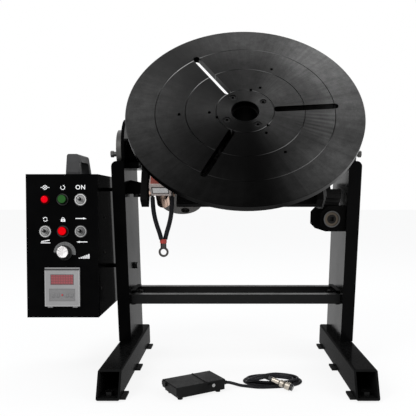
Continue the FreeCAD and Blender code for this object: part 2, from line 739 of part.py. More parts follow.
def push_button(label, row):
    """A button head above the panel, and its stem through it."""
    body = new_body()
    low = s.button_travel + s.stem_gap
    radius = s.button_radius
    turn(body, [(0, -s.shank_length), (s.stem_radius, -s.shank_length), (s.stem_radius, low),
                (radius, low), (radius, s.button_height - 1), (radius - 1, s.button_height),
                (0, s.button_height)])
    return node(on_panel(body, s.column_2, row), label)


def toggle_bush(across, row):
    """A toggle switch's plate, nut and bush, with the switch body behind the panel."""
    plate = rod((0, 0, 0), "Z", s.toggle_plate_radius, 1)
    nut = hexagon((0, 0, 1), "Z", s.toggle_nut_radius * 1.8, 2.4)
    bush = rod((0, 0, -s.shank_length), "Z", s.bush_radius, s.shank_length + s.bush_height)
    bore = rod((0, 0, s.lever_pivot - s.bush_bore), "Z", s.bush_bore, s.bush_height)
    return on_panel(cut(fused(plate, nut, bush), bore), across, row)


def toggle_lever(label, across, row):
    """A lever with a ball at its pivot inside the bush, and a thicker round end."""
    body = new_body()
    ball, tip = s.bush_bore - s.stem_gap, s.lever_tip_radius
    thin, top = tip * 0.62, s.lever_pivot + s.lever_length
    turn(body, [(0, s.lever_pivot - ball), (ball * 0.7, s.lever_pivot - ball * 0.7), (ball, s.lever_pivot),
                (ball * 0.7, s.lever_pivot + ball * 0.7), (thin, s.lever_pivot + ball),
                (tip, top - tip), (tip * 0.7, top - tip * 0.3), (0, top)])
    return node(on_panel(body, across, row), label)


def speed_scale():
    """A flat crescent round the knob."""
    body = new_body()
    outer = s.scale_radius
    pad(body, "XY", 0, s.scale_thick, ("circle", 0, 0, outer), ("circle", 0, 0, s.knob_radius * 0.9))
    pocket(body, "XY", 0, s.scale_thick,
           [(0, 0), (-outer * 1.6, outer * 0.1), (-outer * 1.6, -outer * 1.6), (outer * 1.6, -outer * 1.6),
            (outer * 1.6, outer * -0.3)])
    return node(on_panel(body, s.knob_x, s.knob_y), "speed_scale")


def speed_knob():
    """A fluted knob with a raised cap, on a shaft through the panel."""
    body = new_body()
    base, top = s.scale_thick + s.stem_gap, s.knob_height
    turn(body, [(0, -s.shank_length), (s.stem_radius, -s.shank_length), (s.stem_radius, base),
                (s.knob_radius, base), (s.knob_radius, base + 2.5), (s.knob_radius - 1, base + 3.5),
                (s.knob_cap_radius + 1.4, top - 1.5), (s.knob_cap_radius, top - 1.5),
                (s.knob_cap_radius, top), (0, top)])
    flute = pocket(body, "XY", base + 3.5, top, ("circle", s.knob_radius, 0, 2))
    pattern(body, [flute], 14)
    return node(on_panel(body, s.knob_x, s.knob_y), "speed_knob")


def meter_case():
    """A bezel with a sunk window and a sunk key field, clips above and feet below, body behind."""
    body = new_body()
    wide, high = s.meter_width / 2, s.meter_height / 2
    pad(body, "XY", 0, s.meter_proud, rectangle(-wide, -high, wide, high))
    dress(body, "Chamfer", 1.5, lambda e: e.BoundBox.ZMin > s.meter_proud.value - 1e-3)
    deep = s.window_depth
    pocket(body, "XY", s.meter_proud - deep, deep,
           rectangle(-s.window_half, s.window_low, s.window_half, s.window_high))
    pocket(body, "XY", s.meter_proud - deep, deep,
           rectangle(-s.keys_half, s.keys_low, s.keys_half, s.keys_high))
    pad(body, "XY", 0, s.meter_proud - 1.5, rectangle(-wide, high, wide, high + 3))
    for x in (-wide * 0.72, wide * 0.72):
        pad(body, "XY", 0, 3, rectangle(x - 5, -high - 2.5, x + 5, -high))
    return node(on_panel(body, s.meter_x, s.meter_y), "meter_case")


def meter_window():
    low = s.meter_proud - s.window_depth
    pane = block((-s.window_half, s.window_low, low), (s.window_half, s.window_high, s.meter_proud - 0.4))
    return node(on_panel(group(pane), s.meter_x, s.meter_y), "meter_window")


def meter_keys():
    """A key field with four low keys and a small indicator."""
    body = new_body()
    low, top = s.meter_proud - s.window_depth, s.meter_proud - 0.8
    pad(body, "XY", low, top - low, rectangle(-s.keys_half, s.keys_low, s.keys_half, s.keys_high))
    middle = (s.keys_low + s.keys_high) / 2
    for x in (-19, -9.5, 9.5, 19):
        pad(body, "XY", top, 0.6, rectangle(x - 3.6, middle - 3.6, as_size(x) + 3.6, middle + 3.6))
    pad(body, "XY", top, 0.6, rectangle(-1.6, middle - 2.2, 1.6, middle + 2.2))
    return node(on_panel(body, s.meter_x, s.meter_y), "meter_keys")


def box_bracket(z):
    """A strap between the housing and the left column."""
    return block((s.box_right, s.axis_y - 11, z - 4), (-half, s.axis_y + 7, z + 4))


def box_screw(y, z):
    """A round head on the housing's right side."""
    return fused(rod((s.box_right, y, z), "X", 3, 0.8), rod((s.box_right + 0.8, y, z), "X", 2, 0.8))


def box_handle():
    """A grab handle, narrower towards its top, with a finger gap."""
    body = new_body()
    low = s.box_foot + s.box_height
    top = low + s.handle_height
    wide = s.handle_width / 2
    pad(body, "XZ", s.handle_front, s.handle_length,
        [(s.handle_x - wide, low), (s.handle_x + wide, low), (s.handle_x + wide * 0.83, top),
         (s.handle_x - wide * 0.83, top)])
    back = s.handle_front + s.handle_length
    post, slope = s.handle_post, s.handle_post * 0.6
    for y, way in ((s.handle_front, 1), (back, -1)):
        pocket(body, "YZ", s.handle_x - wide, s.handle_width,
               [(y - 1 * way, low + 5), (y, low + 5), (y + slope * way, top + 1), (y - 1 * way, top + 1)])
    beam = s.handle_height * 0.38
    pocket(body, "YZ", s.handle_x - wide, s.handle_width,
           [(s.handle_front + post, low), (back - post, low), (back - post * 1.3, top - beam),
            (s.handle_front + post * 1.3, top - beam)])
    dress(body, "Fillet", s.handle_round,
          lambda e: e.BoundBox.ZMin > top.value - 1e-3 and e.BoundBox.XLength < 1e-3)
    return node(body, "box_handle")


def box_socket(x, plug_radius):
    """A round socket on the housing's back: a flange, and a collar sunk for a plug's insert."""
    start = s.box_back
    at = s.box_foot + s.socket_row
    hole = plug_radius + s.plug_gap
    flange = rod((panel_x + x, start, at), "Y", hole + s.socket_wall * 3, s.socket_floor / 2)
    collar = rod((panel_x + x, start, at), "Y", hole + s.socket_wall, s.socket_reach)
    recess = rod((panel_x + x, start + s.socket_floor, at), "Y", hole, s.socket_reach - s.socket_floor)
    return cut(fused(flange, collar), recess)


# ---------------------------------------------------------------- cradle

pinion_x = s.table_x - s.pinion_back


def cradle_base():
    """The plate between the cheeks: a hole for the spindle, one for the pinion, a brush notch."""
    body = new_body()
    left, right = s.plate_left + s.cheek_thick, s.plate_right - s.cheek_thick
    front = s.plate_front
    notch = front + s.notch_depth
    pad(body, "XY", 0, s.plate_thick,
        [(left, front), (s.brush_x - s.notch_half, front), (s.brush_x - s.notch_half, notch),
         (s.brush_x + s.notch_half, notch), (s.brush_x + s.notch_half, front), (right, front),
         (right, s.plate_back), (left, s.plate_back)],
        ("circle", s.table_x, 0, s.bearing_outer + 2), ("circle", pinion_x, s.pinion_y, s.pinion_hole))
    return node(in_cradle(body), "cradle_base")


def cheek(side):
    """An end plate of the cradle, deeper at the tilt axis, bored for its trunnion."""
    body = new_body()
    start = s.plate_left if side < 0 else s.plate_right - s.cheek_thick
    high, low, end = s.cheek_rise, -s.cheek_drop, s.cheek_end
    pad(body, "YZ", start, s.cheek_thick,
        [(s.plate_front, 0), (low, low), (-low, low), (s.plate_back, 0), (s.plate_back, end),
         (high + 3, high), (-high - 3, high), (s.plate_front, end)],
        ("circle", 0, 0, s.shaft_radius))
    return body


def trunnion_shaft(side):
    """A stepped shaft out through a cheek, its bearing and the hub, with a nut on its thin end."""
    inner = -s.plate_left - s.cheek_thick if side < 0 else s.plate_right - s.cheek_thick
    reach = hub_outer - 1
    start, _ = spread(side, inner, reach)
    tip, _ = spread(side, reach, reach + s.shaft_tip_length)
    nut, _ = spread(side, reach + s.shaft_tip_length, reach + s.shaft_tip_length + s.shaft_nut_height)
    stepped = [rod((start, 0, 0), "X", s.shaft_radius, reach - inner),
               rod((tip, 0, 0), "X", s.shaft_tip_radius, s.shaft_tip_length),
               hexagon((nut, 0, 0), "X", s.shaft_nut_flats, s.shaft_nut_height)]
    if side < 0:
        stepped.append(rod((s.plate_left - s.collar_length, 0, 0), "X", s.collar_radius, s.collar_length))
    return fused(*stepped)


housing_top = s.plate_thick + s.housing_flange_thick + s.housing_height - 10


def spindle_housing():
    """The flanged tube that carries the spindle's bearings, with its bolt heads."""
    body = new_body()
    foot, bore = s.plate_thick, s.bearing_outer
    turn(body, [(bore, foot), (s.housing_flange, foot), (s.housing_flange, foot + s.housing_flange_thick - 1.5),
                (s.housing_flange - 1.5, foot + s.housing_flange_thick),
                (s.housing_radius + 5, foot + s.housing_flange_thick),
                (s.housing_radius, foot + s.housing_flange_thick + 5), (s.housing_radius, housing_top),
                (bore, housing_top)])
    heads = pad(body, "XY", foot + s.housing_flange_thick, 5.5,
                ("circle", (s.housing_flange + s.housing_radius + 4) / 2, 0, 4))
    pattern(body, [heads], 6)
    in_cradle(body)
    return body


def about_spindle(obj):
    """Parts drawn about the spindle's axis: level, then tilted with the cradle."""
    in_cradle(obj)
    obj.Placement = Placement(Vector(s.table_x.value, s.axis_y.value, s.axis_z.value),
                              obj.Placement.Rotation)
    bind(obj, Placement__Base__x=s.table_x)
    return obj


def bearing(z):
    return ring((0, 0, z), "Z", s.bearing_outer, s.tube_radius + s.running_gap, s.bearing_height)


def spin_gearbox():
    """The gearbox under the plate, with a rounded case, a motor flange and a lid with bolts."""
    body = new_body()
    left, right = s.gearbox_left, s.gearbox_right
    pad(body, "XY", -s.gearbox_depth, s.gearbox_depth,
        rectangle(left, s.gearbox_front, right, s.gearbox_back))
    dress(body, "Fillet", 6, lambda e: e.BoundBox.ZMax < -1 and e.BoundBox.ZLength < 1)
    lid_y = s.gearbox_back
    pad(body, "XZ", lid_y, 4, rectangle(left + 8, -s.gearbox_depth + 8, right - 8, -8))
    for x in (left + 16, right - 16):
        for z in (-s.gearbox_depth + 16, as_size(-16)):
            pad(body, "XZ", lid_y + 4, 3, ("circle", x, z, 3.5))
    return node(in_cradle(body), "spin_gearbox")


def spin_motor():
    """A finned motor along the gearbox, with an end bell that has a cable hole."""
    start, length = s.motor_front + s.bell_length, s.gearbox_front - s.motor_front - s.bell_length
    can = rod((s.motor_x, start, s.motor_z), "Y", s.motor_radius - 3, length)
    fins = []
    count = int(s.motor_fins.value)
    for number in range(count):
        fins.append(rod((s.motor_x, start + length * ((number + 0.5) / count) - 2, s.motor_z), "Y",
                        s.motor_radius, 3.4))
    bell = rod((s.motor_x, s.motor_front, s.motor_z), "Y", s.bell_radius, s.bell_length)
    hole = rod((s.motor_x + s.cable_hole_x, s.motor_front, s.motor_z - s.cable_hole_drop), "Y",
               s.cable_hole_radius, s.bell_length * 0.6)
    return node(in_cradle(cut(fused(can, bell, *fins), hole)), "spin_motor")


def brush_block():
    """The insulated brush holder above the notch, and the angle that bolts it to the plate."""
    body = new_body()
    wide = s.brush_width / 2
    back = s.brush_front + s.brush_depth
    pad(body, "XY", s.brush_foot, s.brush_top - s.brush_foot,
        rectangle(s.brush_x - wide, s.brush_front, s.brush_x + wide, back))
    dress(body, "Chamfer", 2, lambda e: e.BoundBox.ZMin > s.brush_top.value - 1e-3)
    pocket(body, "XY", s.brush_foot, s.brush_top - s.brush_foot,
           ("circle", s.brush_x, s.rod_y, s.rod_neck_radius))
    pocket(body, "XY", s.brush_foot, 8, ("circle", s.brush_x, s.rod_y, s.rod_radius))
    angle = new_body()
    leg = s.brush_foot + s.brush_depth
    pad(angle, "YZ", s.brush_x - wide + 3, s.brush_width - 6,
        [(back, s.plate_thick), (back + s.angle_foot, s.plate_thick),
         (back + s.angle_foot, s.plate_thick + s.angle_thick),
         (back + s.angle_thick, s.plate_thick + s.angle_thick),
         (back + s.angle_thick, leg), (back, leg)])
    tabs = [block((s.brush_x + side * wide - (3 if side < 0 else 0), s.brush_front + 4, s.brush_foot + 6),
                  (s.brush_x + side * wide + (3 if side > 0 else 0), back - 4, s.brush_foot + 22))
            for side in SIDES]
    return node(in_cradle(group(body, angle, *tabs)), "brush_block")


def brush_rod():
    """The copper contact: a thick end below the block, and a neck up to the faceplate's back."""
    contact = s.table_height - s.table_thick - 0.3
    thick = rod((s.brush_x, s.rod_y, s.rod_foot), "Z", s.rod_radius, s.brush_foot + 8 - s.rod_foot)
    neck = rod((s.brush_x, s.rod_y, s.brush_foot + 8), "Z", s.rod_neck_radius, contact - s.brush_foot - 8)
    cross = rod((s.brush_x - s.rod_radius - 1, s.rod_y, s.stud_z), "X", s.stud_radius, s.rod_radius * 2 + 2)
    return node(in_cradle(cut(fused(thick, neck), cross)), "brush_rod")


def brush_terminals():
    """A stud through the copper contact, with a nut at each end."""
    reach = s.lead_offset + s.eye_thick / 2 + s.stem_gap + s.nut_thick
    stud = rod((s.brush_x - reach, s.rod_y, s.stud_z), "X", s.stud_radius, reach * 2)
    nuts = [hexagon((s.brush_x + (-reach if side < 0 else reach - s.nut_thick), s.rod_y, s.stud_z), "X",
                    s.stud_radius * 3.1, s.nut_thick) for side in SIDES]
    return node(in_cradle(fused(stud, *nuts)), "brush_terminals")


# ---------------------------------------------------------------- faceplate and spindle

def faceplate():
    """The turned plate: centre bore, three witness grooves, three radial slots, bolt and tapped holes."""
    body = new_body()
    top, radius, edge = s.table_height, s.table_radius, s.rim_chamfer
    low = top - s.table_thick
    turn(body, [(s.bore_radius, low), (radius - edge, low), (radius, low + edge), (radius, top - edge),
                (radius - edge, top), (s.bore_radius + 1, top), (s.bore_radius, top - 1)])
    for groove in (s.groove_1, s.groove_2, s.groove_3):
        wide = s.groove_width / 2
        turn(body, [(groove - wide, top + 0.1), (groove, top - s.groove_depth), (groove + wide, top + 0.1)],
             kind="Groove")
    half_slot = s.slot_width / 2
    slot = pocket(body, "XY", low, s.table_thick, turned_slot(half_slot))
    pattern(body, [slot], 3)
    sink = pocket(body, "XY", top - s.counterbore_depth, s.counterbore_depth,
                  ("circle", s.screw_circle * cos(s.screw_angle), s.screw_circle * sin(s.screw_angle),
                   s.counterbore_radius))
    pattern(body, [sink], 4)
    through = pocket(body, "XY", low, s.table_thick - s.counterbore_depth,
                     ("circle", s.screw_circle * cos(s.screw_angle), s.screw_circle * sin(s.screw_angle),
                      s.screw_radius))
    pattern(body, [through], 4)
    for circle, angle in ((s.tap_circle_1, s.tap_angle_1), (s.tap_circle_2, s.tap_angle_2),
                          (s.tap_circle_3, s.tap_angle_3)):
        hole = pocket(body, "XY", low, s.table_thick,
                      ("circle", circle * cos(angle), circle * sin(angle), s.tap_radius))
        pattern(body, [hole], 3)
    return node(about_spindle(body), "faceplate")


def turned_slot(half_slot):
    """A long slot's outline, its ends rounded by short flats, turned to the slot angle."""
    inner, outer = s.slot_inner, s.slot_outer
    points = []
    for centre, first in ((outer, -90), (inner, 90)):
        for step in range(7):
            angle = first + step * 30
            points.append((centre + half_slot * math.cos(math.radians(angle)),
                           half_slot * math.sin(math.radians(angle))))
    turn_cos, turn_sin = cos(s.slot_angle), sin(s.slot_angle)
    return [(x * turn_cos - y * turn_sin, x * turn_sin + y * turn_cos) for x, y in points]


def spindle():
    """The hollow spindle: the flange under the faceplate, the tube in the bearings, the lock nut."""
    body = new_body()
    back = s.table_height - s.table_thick
    nut_low = s.spindle_foot
    turn(body, [(s.tube_bore, nut_low), (s.nut_radius, nut_low), (s.nut_radius, nut_low + s.nut_height),
                (s.tube_radius, nut_low + s.nut_height), (s.tube_radius, back - s.flange_thick),
                (s.flange_radius, back - s.flange_thick), (s.flange_radius, back), (s.tube_bore, back)])
    tap = pocket(body, "XY", back - s.flange_thick, s.flange_thick,
                 ("circle", s.screw_circle * cos(s.screw_angle), s.screw_circle * sin(s.screw_angle),
                  s.screw_radius))
    pattern(body, [tap], 4)
    return node(about_spindle(body), "spindle")


def faceplate_screw(number):
    """A socket cap screw in its counterbore."""
    angle = s.screw_angle + 90 * number
    x, y = s.screw_circle * cos(angle), s.screw_circle * sin(angle)
    seat = s.table_height - s.counterbore_depth
    shank = rod((x, y, seat - s.table_thick), "Z", s.screw_radius, s.table_thick)
    head = rod((x, y, seat), "Z", s.screw_head_radius, s.screw_head_height)
    socket = hexagon((x, y, seat + s.screw_head_height / 2), "Z", s.screw_head_radius, s.screw_head_height)
    return cut(fused(shank, head), socket)


def gear(teeth, first, low, width, centre=(0, 0)):
    """A spur gear's solid about an upright axis, with a tooth centred at the first angle."""
    module = s.gear_module.value
    pitch = module * teeth / 2
    pressure = math.radians(s.pressure_angle.value)
    points = []

    def half_angle(radius):
        """Half a tooth's angle at a radius, less half the backlash."""
        at = math.acos(min(1, pitch * math.cos(pressure) / radius))
        flank = math.tan(pressure) - pressure - math.tan(at) + at
        return math.pi / (2 * teeth) + flank - s.gear_gap.value / 2 / radius

    radii = [pitch - module * 1.25, pitch - module * 0.5, pitch + module * 0.35, pitch + module * 0.96]
    for number in range(teeth):
        middle = math.radians(first) + 2 * math.pi * number / teeth
        for radius in radii:
            points.append((radius, middle - half_angle(radius)))
        for radius in reversed(radii):
            points.append((radius, middle + half_angle(radius)))
    outline = [Vector(centre[0] + r * math.cos(a), centre[1] + r * math.sin(a), low) for r, a in points]
    return Part.Face(Part.makePolygon(outline + outline[:1])).extrude(Vector(0, 0, width))


gear_low = s.table_height - s.table_thick - s.flange_thick - s.gear_width


def ring_gear():
    """The large gear under the spindle's flange; a gap faces the pinion."""
    teeth = int(s.gear_teeth.value)
    low, width = gear_low.value, s.gear_width.value
    towards = math.degrees(math.atan2(s.pinion_y.value, -s.pinion_back.value))
    bore = Part.makeCylinder(s.tube_radius.value, width, Vector(0, 0, low))
    wheel = doc.addObject("Part::Feature", "wheel")
    wheel.Shape = gear(teeth, towards + 180 / teeth, low, width).cut(bore)
    return node(about_spindle(wheel), "ring_gear")


def spin_pinion():
    """The pinion on its shaft out of the gearbox; a tooth faces the spindle."""
    low, over = gear_low.value, s.pinion_over.value
    x, y, foot = pinion_x.value, s.pinion_y.value, s.stem_gap.value
    back_at = math.degrees(math.atan2(-s.pinion_y.value, s.pinion_back.value))
    wheel = gear(int(s.pinion_teeth.value), back_at, low - over, s.gear_width.value + 2 * over, (x, y))
    shaft = Part.makeCylinder(s.pinion_shaft_radius.value, low - over - foot, Vector(x, y, foot))
    pinion = doc.addObject("Part::Feature", "pinion")
    pinion.Shape = wheel.fuse(shaft)
    return node(in_cradle(pinion), "spin_pinion")


# ---------------------------------------------------------------- free cables

def cable(points, radius):
    """A round cable along straight runs joined by tangent arcs, and its length."""
    points = [Vector(*p) for p in points]
    edges = []
    start = points[0]
    length = 0.0
    for before, corner, after in zip(points, points[1:], points[2:]):
        inward, outward = (corner - before), (after - corner)
        shorter = min(inward.Length, outward.Length)
        half_turn = inward.getAngle(outward) / 2
        bend = 0.45 * shorter / math.tan(half_turn)
        leave = corner - inward.normalize() * 0.45 * shorter
        meet = corner + outward.normalize() * 0.45 * shorter
        to_centre = (outward - inward).normalize()
        middle = corner + to_centre * (bend / math.cos(half_turn) - bend)
        edges.append(Part.makeLine(start, leave))
        edges.append(Part.Arc(leave, middle, meet).toShape())
        length += (leave - start).Length + bend * half_turn * 2
        start = meet
        print("cable radius", round(bend, 1))
    edges.append(Part.makeLine(start, points[-1]))
    length += (points[-1] - start).Length
    spine = Part.Wire(edges)
    first = edges[0].tangentAt(edges[0].FirstParameter)
    profile = Part.Wire(Part.makeCircle(radius, points[0], first))
    tube = spine.makePipeShell([profile], True, False)
    if abs(tube.Volume / (math.pi * radius ** 2 * length) - 1) > 0.01:
        raise RuntimeError("a cable's volume doesn't fit its length")
    print("cable length", round(length, 1))
    return tube


def cable_node(label, points, radius):
    feature = doc.addObject("Part::Feature", "cable")
    feature.Shape = cable(points, radius.value)
    return node(feature, label)


def lug_top():
    """The point under the stud where both leads end, in the rest position."""
    y = s.rod_y * cos(s.rest_tilt) - s.stud_z * sin(s.rest_tilt) + s.axis_y
    z = s.rod_y * sin(s.rest_tilt) + s.stud_z * cos(s.rest_tilt) + s.axis_z
    return y, z


LEAD_ROUTE = [(20.8, 0, 8), (20.5, 0.3, 28), (17.6, 1.2, 50),
              (12.2, 2.4, 70), (6.6, 3.4, 86), (3.8, 3.9, 96)]


def lead(label, side):
    y, z = lug_top()
    points = [(s.brush_x.value + side * across, y.value + side * aside, z.value - down)
              for across, aside, down in LEAD_ROUTE]
    return cable_node(label, points, s.lead_radius)


def cable_lug():
    """The lug that joins the leads: a band, a barrel and a flat ring; and the eyes on the stud."""
    y, z = lug_top()
    top = z - s.lug_drop
    band = rod((s.brush_x, y, top - 8), "Z", s.barrel_radius + 1, 8)
    barrel = rod((s.brush_x, y, top - 20), "Z", s.barrel_radius, 20)
    eye_z = top - 20 - s.eye_radius + 3
    neck_half = s.barrel_radius * 0.8
    neck = block((s.brush_x - neck_half, y - 2, eye_z), (s.brush_x + neck_half, y + 2, top - 18))
    eye = rod((s.brush_x, y - 2, eye_z), "Y", s.eye_radius, 4)
    hole = rod((s.brush_x, y - 2, eye_z), "Y", s.eye_hole_radius, 4)
    eyes = [ring((s.brush_x + side * s.lead_offset - s.eye_thick / 2, y, z), "X", s.lead_radius + 3,
                 s.stud_radius + s.stem_gap, s.eye_thick) for side in SIDES]
    return node(group(cut(fused(band, barrel, neck, eye), hole), *eyes), "cable_lug")


# ---------------------------------------------------------------- foot switch

def pedal_base():
    """A tray with a higher end that carries the hinge pin."""
    body = new_body()
    inset = s.pedal_inset
    low, wide = s.pedal_foot, s.pedal_width - inset * 2
    pad(body, "XZ", inset, wide,
        [(inset, low), (s.pedal_length, low), (s.pedal_length, s.pedal_high - s.treadle_gap),
         (s.pin_x - 4, s.pedal_high - s.treadle_gap), (s.pin_x - 6, s.pedal_high - 2.5),
         (s.skirt_length, s.pedal_high - 3), (inset, s.pedal_low - 2)])
    skin = s.pedal_skin
    pocket(body, "XY", low + skin, s.pedal_high,
           rectangle(inset + skin, inset + skin, s.pedal_length - skin, s.pedal_width - inset - skin))
    pocket(body, "XZ", inset, wide, ("circle", s.pin_x, s.pin_z, s.pin_radius))
    return node(by_pedal(body), "pedal_base")


def pedal_treadle():
    """The treadle: a plate with a ridge, side skirts, and two ears on the hinge pin."""
    body = new_body()
    top = s.pedal_high + s.treadle_thick
    wide = s.pedal_width
    pad(body, "XY", s.pedal_high, s.treadle_thick, rectangle(-2, 0, s.pedal_length, wide))
    dress(body, "Fillet", 1.6, lambda e: e.BoundBox.ZMin > top.value - 1e-3)
    pad(body, "XY", top - 0.5, 1.7, rectangle(s.skirt_length - 3, 1.6, s.skirt_length, wide - 1.6))
    skin = s.pedal_skin - 0.4
    low = s.pedal_high - s.skirt_drop - 5
    for y in (as_size(0), wide - skin):
        pad(body, "XY", low, s.pedal_high - low, rectangle(-2, y, s.skirt_length, y + skin))
    pad(body, "XY", low, s.pedal_high - low, rectangle(-2, skin, -2 + skin, wide - skin))
    inner = s.pedal_inset + s.pedal_skin + s.treadle_gap
    ear_thick = s.pedal_skin
    for y in (inner, wide - inner - ear_thick):
        pad(body, "XZ", y, ear_thick,
            [(s.pin_x - 5, s.pin_z - 4.5), (s.pin_x + 5, s.pin_z - 4.5), (s.pin_x + 6, s.pedal_high),
             (s.pin_x - 6, s.pedal_high)])
        pocket(body, "XZ", y, ear_thick, ("circle", s.pin_x, s.pin_z, s.pin_radius + s.running_gap))
    pad(body, "XY", s.pedal_high - 6, 8, rectangle(-5, wide - 20, -2, wide - 4))
    return node(by_pedal(body), "pedal_treadle")


def pedal_pin():
    """The hinge pin right through the base, with a head at each end."""
    pin = rod((s.pin_x, s.pedal_inset - 1.6, s.pin_z), "Y", s.pin_radius,
              s.pedal_width - s.pedal_inset * 2 + 3.2)
    heads = [rod((s.pin_x, y, s.pin_z), "Y", s.pin_radius + 1, 1.6)
             for y in (s.pedal_inset - 1.6, s.pedal_width - s.pedal_inset)]
    return node(by_pedal(fused(pin, *heads)), "pedal_pin")


def pedal_feet():
    """Four round rubber feet under the foot switch."""
    inset = s.pedal_foot_inset
    return [rod((x, y, 0), "Z", s.pedal_foot_radius, s.pedal_foot)
            for x in (inset, s.pedal_length - inset) for y in (inset, s.pedal_width - inset)]


def pedal_coil():
    """The outer shape of the coiled cable."""
    outer = doc.addObject("Part::Ellipse", "outer")
    bind(outer, MajorRadius=s.coil_half_x, MinorRadius=s.coil_half_y)
    inner = doc.addObject("Part::Ellipse", "inner")
    bind(inner, MajorRadius=s.coil_half_x - s.coil_band, MinorRadius=s.coil_half_y - s.coil_band)
    solids = []
    for ellipse in (outer, inner):
        ellipse.Placement = Placement(Vector(s.coil_x.value, s.coil_y.value, 0), Rotation())
        bind(ellipse, Placement__Base__x=s.coil_x, Placement__Base__y=s.coil_y)
        prism = doc.addObject("Part::Extrusion", "prism")
        prism.Base = ellipse
        prism.Dir = Vector(0, 0, 1)
        prism.Solid = True
        bind(prism, LengthFwd=s.coil_height)
        solids.append(prism)
    return node(cut(*solids), "pedal_coil")


def connector_body():
    """The round plug on the cable's end: a rubber boot, a ribbed coupling nut and its insert."""
    body = new_body()
    r = s.plug_radius
    turn(body, [(0, -s.boot_length), (s.boot_radius, -s.boot_length), (s.boot_radius, 3), (r * 0.8, 6),
                (r * 0.9, 7), (r * 0.9, 13), (r * 0.75, 14), (r * 0.75, 17), (r, 18), (r, 28),
                (s.insert_radius, 29), (s.insert_radius, s.plug_length), (0, s.plug_length)])
    away = Vector(0.87, -0.422, -0.26)
    body.Placement = Placement(Vector(81.5, -134.7, 16.4), Rotation(Vector(0, 0, 1), away))
    return node(body, "connector_body")


CABLE_ROUTE = [(-30.8, -137.5, 15), (-20.2, -130.7, 14.3), (-8.0, -125.8, 9.7), (5.4, -123.7, 4.7),
               (19.3, -124.9, 3.4), (33.2, -129.3, 3.2), (47.3, -132.4, 3.2)]


# ---------------------------------------------------------------- assembly

foot("left_foot", -1)
foot("right_foot", 1)
column("left_column", -1)
column("right_column", 1)
pad_ys = (s.pad_front, s.pad_middle, s.pad_rear)
node(group(*[rubber_foot(side, y) for side in SIDES for y in pad_ys], by_pedal(group(*pedal_feet()))),
     "rubber_feet")
node(group(crossbar(front_bar_y), crossbar(rear_bar_y)), "crossbars")
node(group(*[crossbar_plate(side) for side in SIDES]), "crossbar_plates")
node(group(*[ear(side) for side in SIDES]), "trunnion_ears")
node(group(*[hub(side) for side in SIDES]), "trunnion_hubs")
node(group(*[bearing_block(side) for side in SIDES]), "bearing_blocks")
node(group(*[trunnion_bush(side) for side in SIDES],
           worm_bush(trough_front), worm_bush(trough_back - s.trough_wall)), "stand_bearings")
stop_bracket()
worm_trough()
node(ring((s.sector_x, trough_front - s.ring_height, worm_z), "Y", s.ring_radius,
          s.ring_radius - s.ring_wall, s.ring_height), "worm_ring")
plate_bolt_x = column_inner - s.bar_plate
node(group(*[foot_bolt(side, y) for side in SIDES for y in (-bolt_y, bolt_y)],
           *[hex_bolt(side * plate_bolt_x, y, s.bar_height + s.bar_size / 2, "X", -side)
             for side in SIDES for y in (s.axis_y - 14, s.axis_y + 36)],
           *[hex_bolt(side * block_inner, s.axis_y + y, s.axis_z - s.block_radius + 6.5, "X", -side,
                      8, 4, 5.5, 1)
             for side in SIDES for y in (-38, 38)],
           *[hex_bolt(-column_inner + s.bracket_reach / 2, s.bracket_y + y, s.bracket_z, "Z", -1)
             for y in (11, 29)],
           hex_bolt(-column_inner, s.axis_y - 2, s.wall_bracket_1, "X", 1)), "frame_bolts")
box_shell()
box_panel()
node(group(box_bracket(s.wall_bracket_1), box_bracket(s.wall_bracket_2)), "box_brackets")
box_handle()
node(group(*[box_screw(y, z) for y, z in ((36, 338), (19, 262), (-31, 191))]), "panel_screws")
pilot_lamp()
node(group(button_bezel(s.row_1), button_bezel(s.row_2)), "button_bezels")
node(group(toggle_bush(s.column_3, s.row_1), toggle_bush(s.column_1, s.row_2),
           toggle_bush(s.column_3, s.row_2)), "toggle_bushes")
speed_scale()
meter_case()
meter_window()
meter_keys()
node(group(box_socket(-s.socket_spacing, s.insert_radius), box_socket(0, s.insert_radius),
           box_socket(s.socket_spacing, s.insert_radius * 1.5)), "box_sockets")
push_button("green_button", s.row_1)
push_button("red_button", s.row_2)
toggle_lever("power_toggle", s.column_3, s.row_1)
toggle_lever("mode_toggle", s.column_1, s.row_2)
toggle_lever("direction_toggle", s.column_3, s.row_2)
speed_knob()
cradle_base()
node(in_cradle(group(*[cheek(side) for side in SIDES])), "cradle_cheeks")
node(in_cradle(group(*[trunnion_shaft(side) for side in SIDES])), "trunnion_shafts")
tilt_sector()
node(about_spindle(spindle_housing()), "spindle_housing")
node(about_spindle(group(bearing(s.plate_thick + 4), bearing(housing_top - 4 - s.bearing_height))),
     "spindle_bearings")
spin_gearbox()
spin_motor()
brush_block()
brush_rod()
brush_terminals()
faceplate()
spindle()
node(about_spindle(group(*[faceplate_screw(number) for number in range(4)])), "faceplate_screws")
ring_gear()
spin_pinion()
tilt_worm()
lead("left_lead", -1)
lead("right_lead", 1)
cable_lug()
pedal_base()
pedal_treadle()
pedal_pin()
cable_node("pedal_cord", CABLE_ROUTE, s.cord_radius)
pedal_coil()
connector_body()


# ---------------------------------------------------------------- checks and export

doc.recompute()
for obj in doc.Objects:
    if "Invalid" in obj.State or "Error" in obj.State:
        raise RuntimeError(f"{obj.Label} failed: {obj.State}")
for obj in nodes:
    if obj.Shape.isNull() or not obj.Shape.isValid():
        raise RuntimeError(f"{obj.Label} has no valid shape")
os.makedirs("parts", exist_ok=True)
for obj in nodes:
    obj.Shape.exportStep(f"parts/{obj.Label}.step")
print(len(nodes), "nodes")
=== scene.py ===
# %% [markdown]
# # A welding positioner, dressed for its picture
# A welding positioner holds a workpiece on a slotted round table, tilts it and turns it, so that the
# welder always works on a comfortable seam. The CAD model gives every solid and every joint. This
# lesson adds what CAD doesn't have: paint, turned steel, rubber, printed marks and real cables.
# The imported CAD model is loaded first, and it stays fixed. Everything below is placed in its frame.

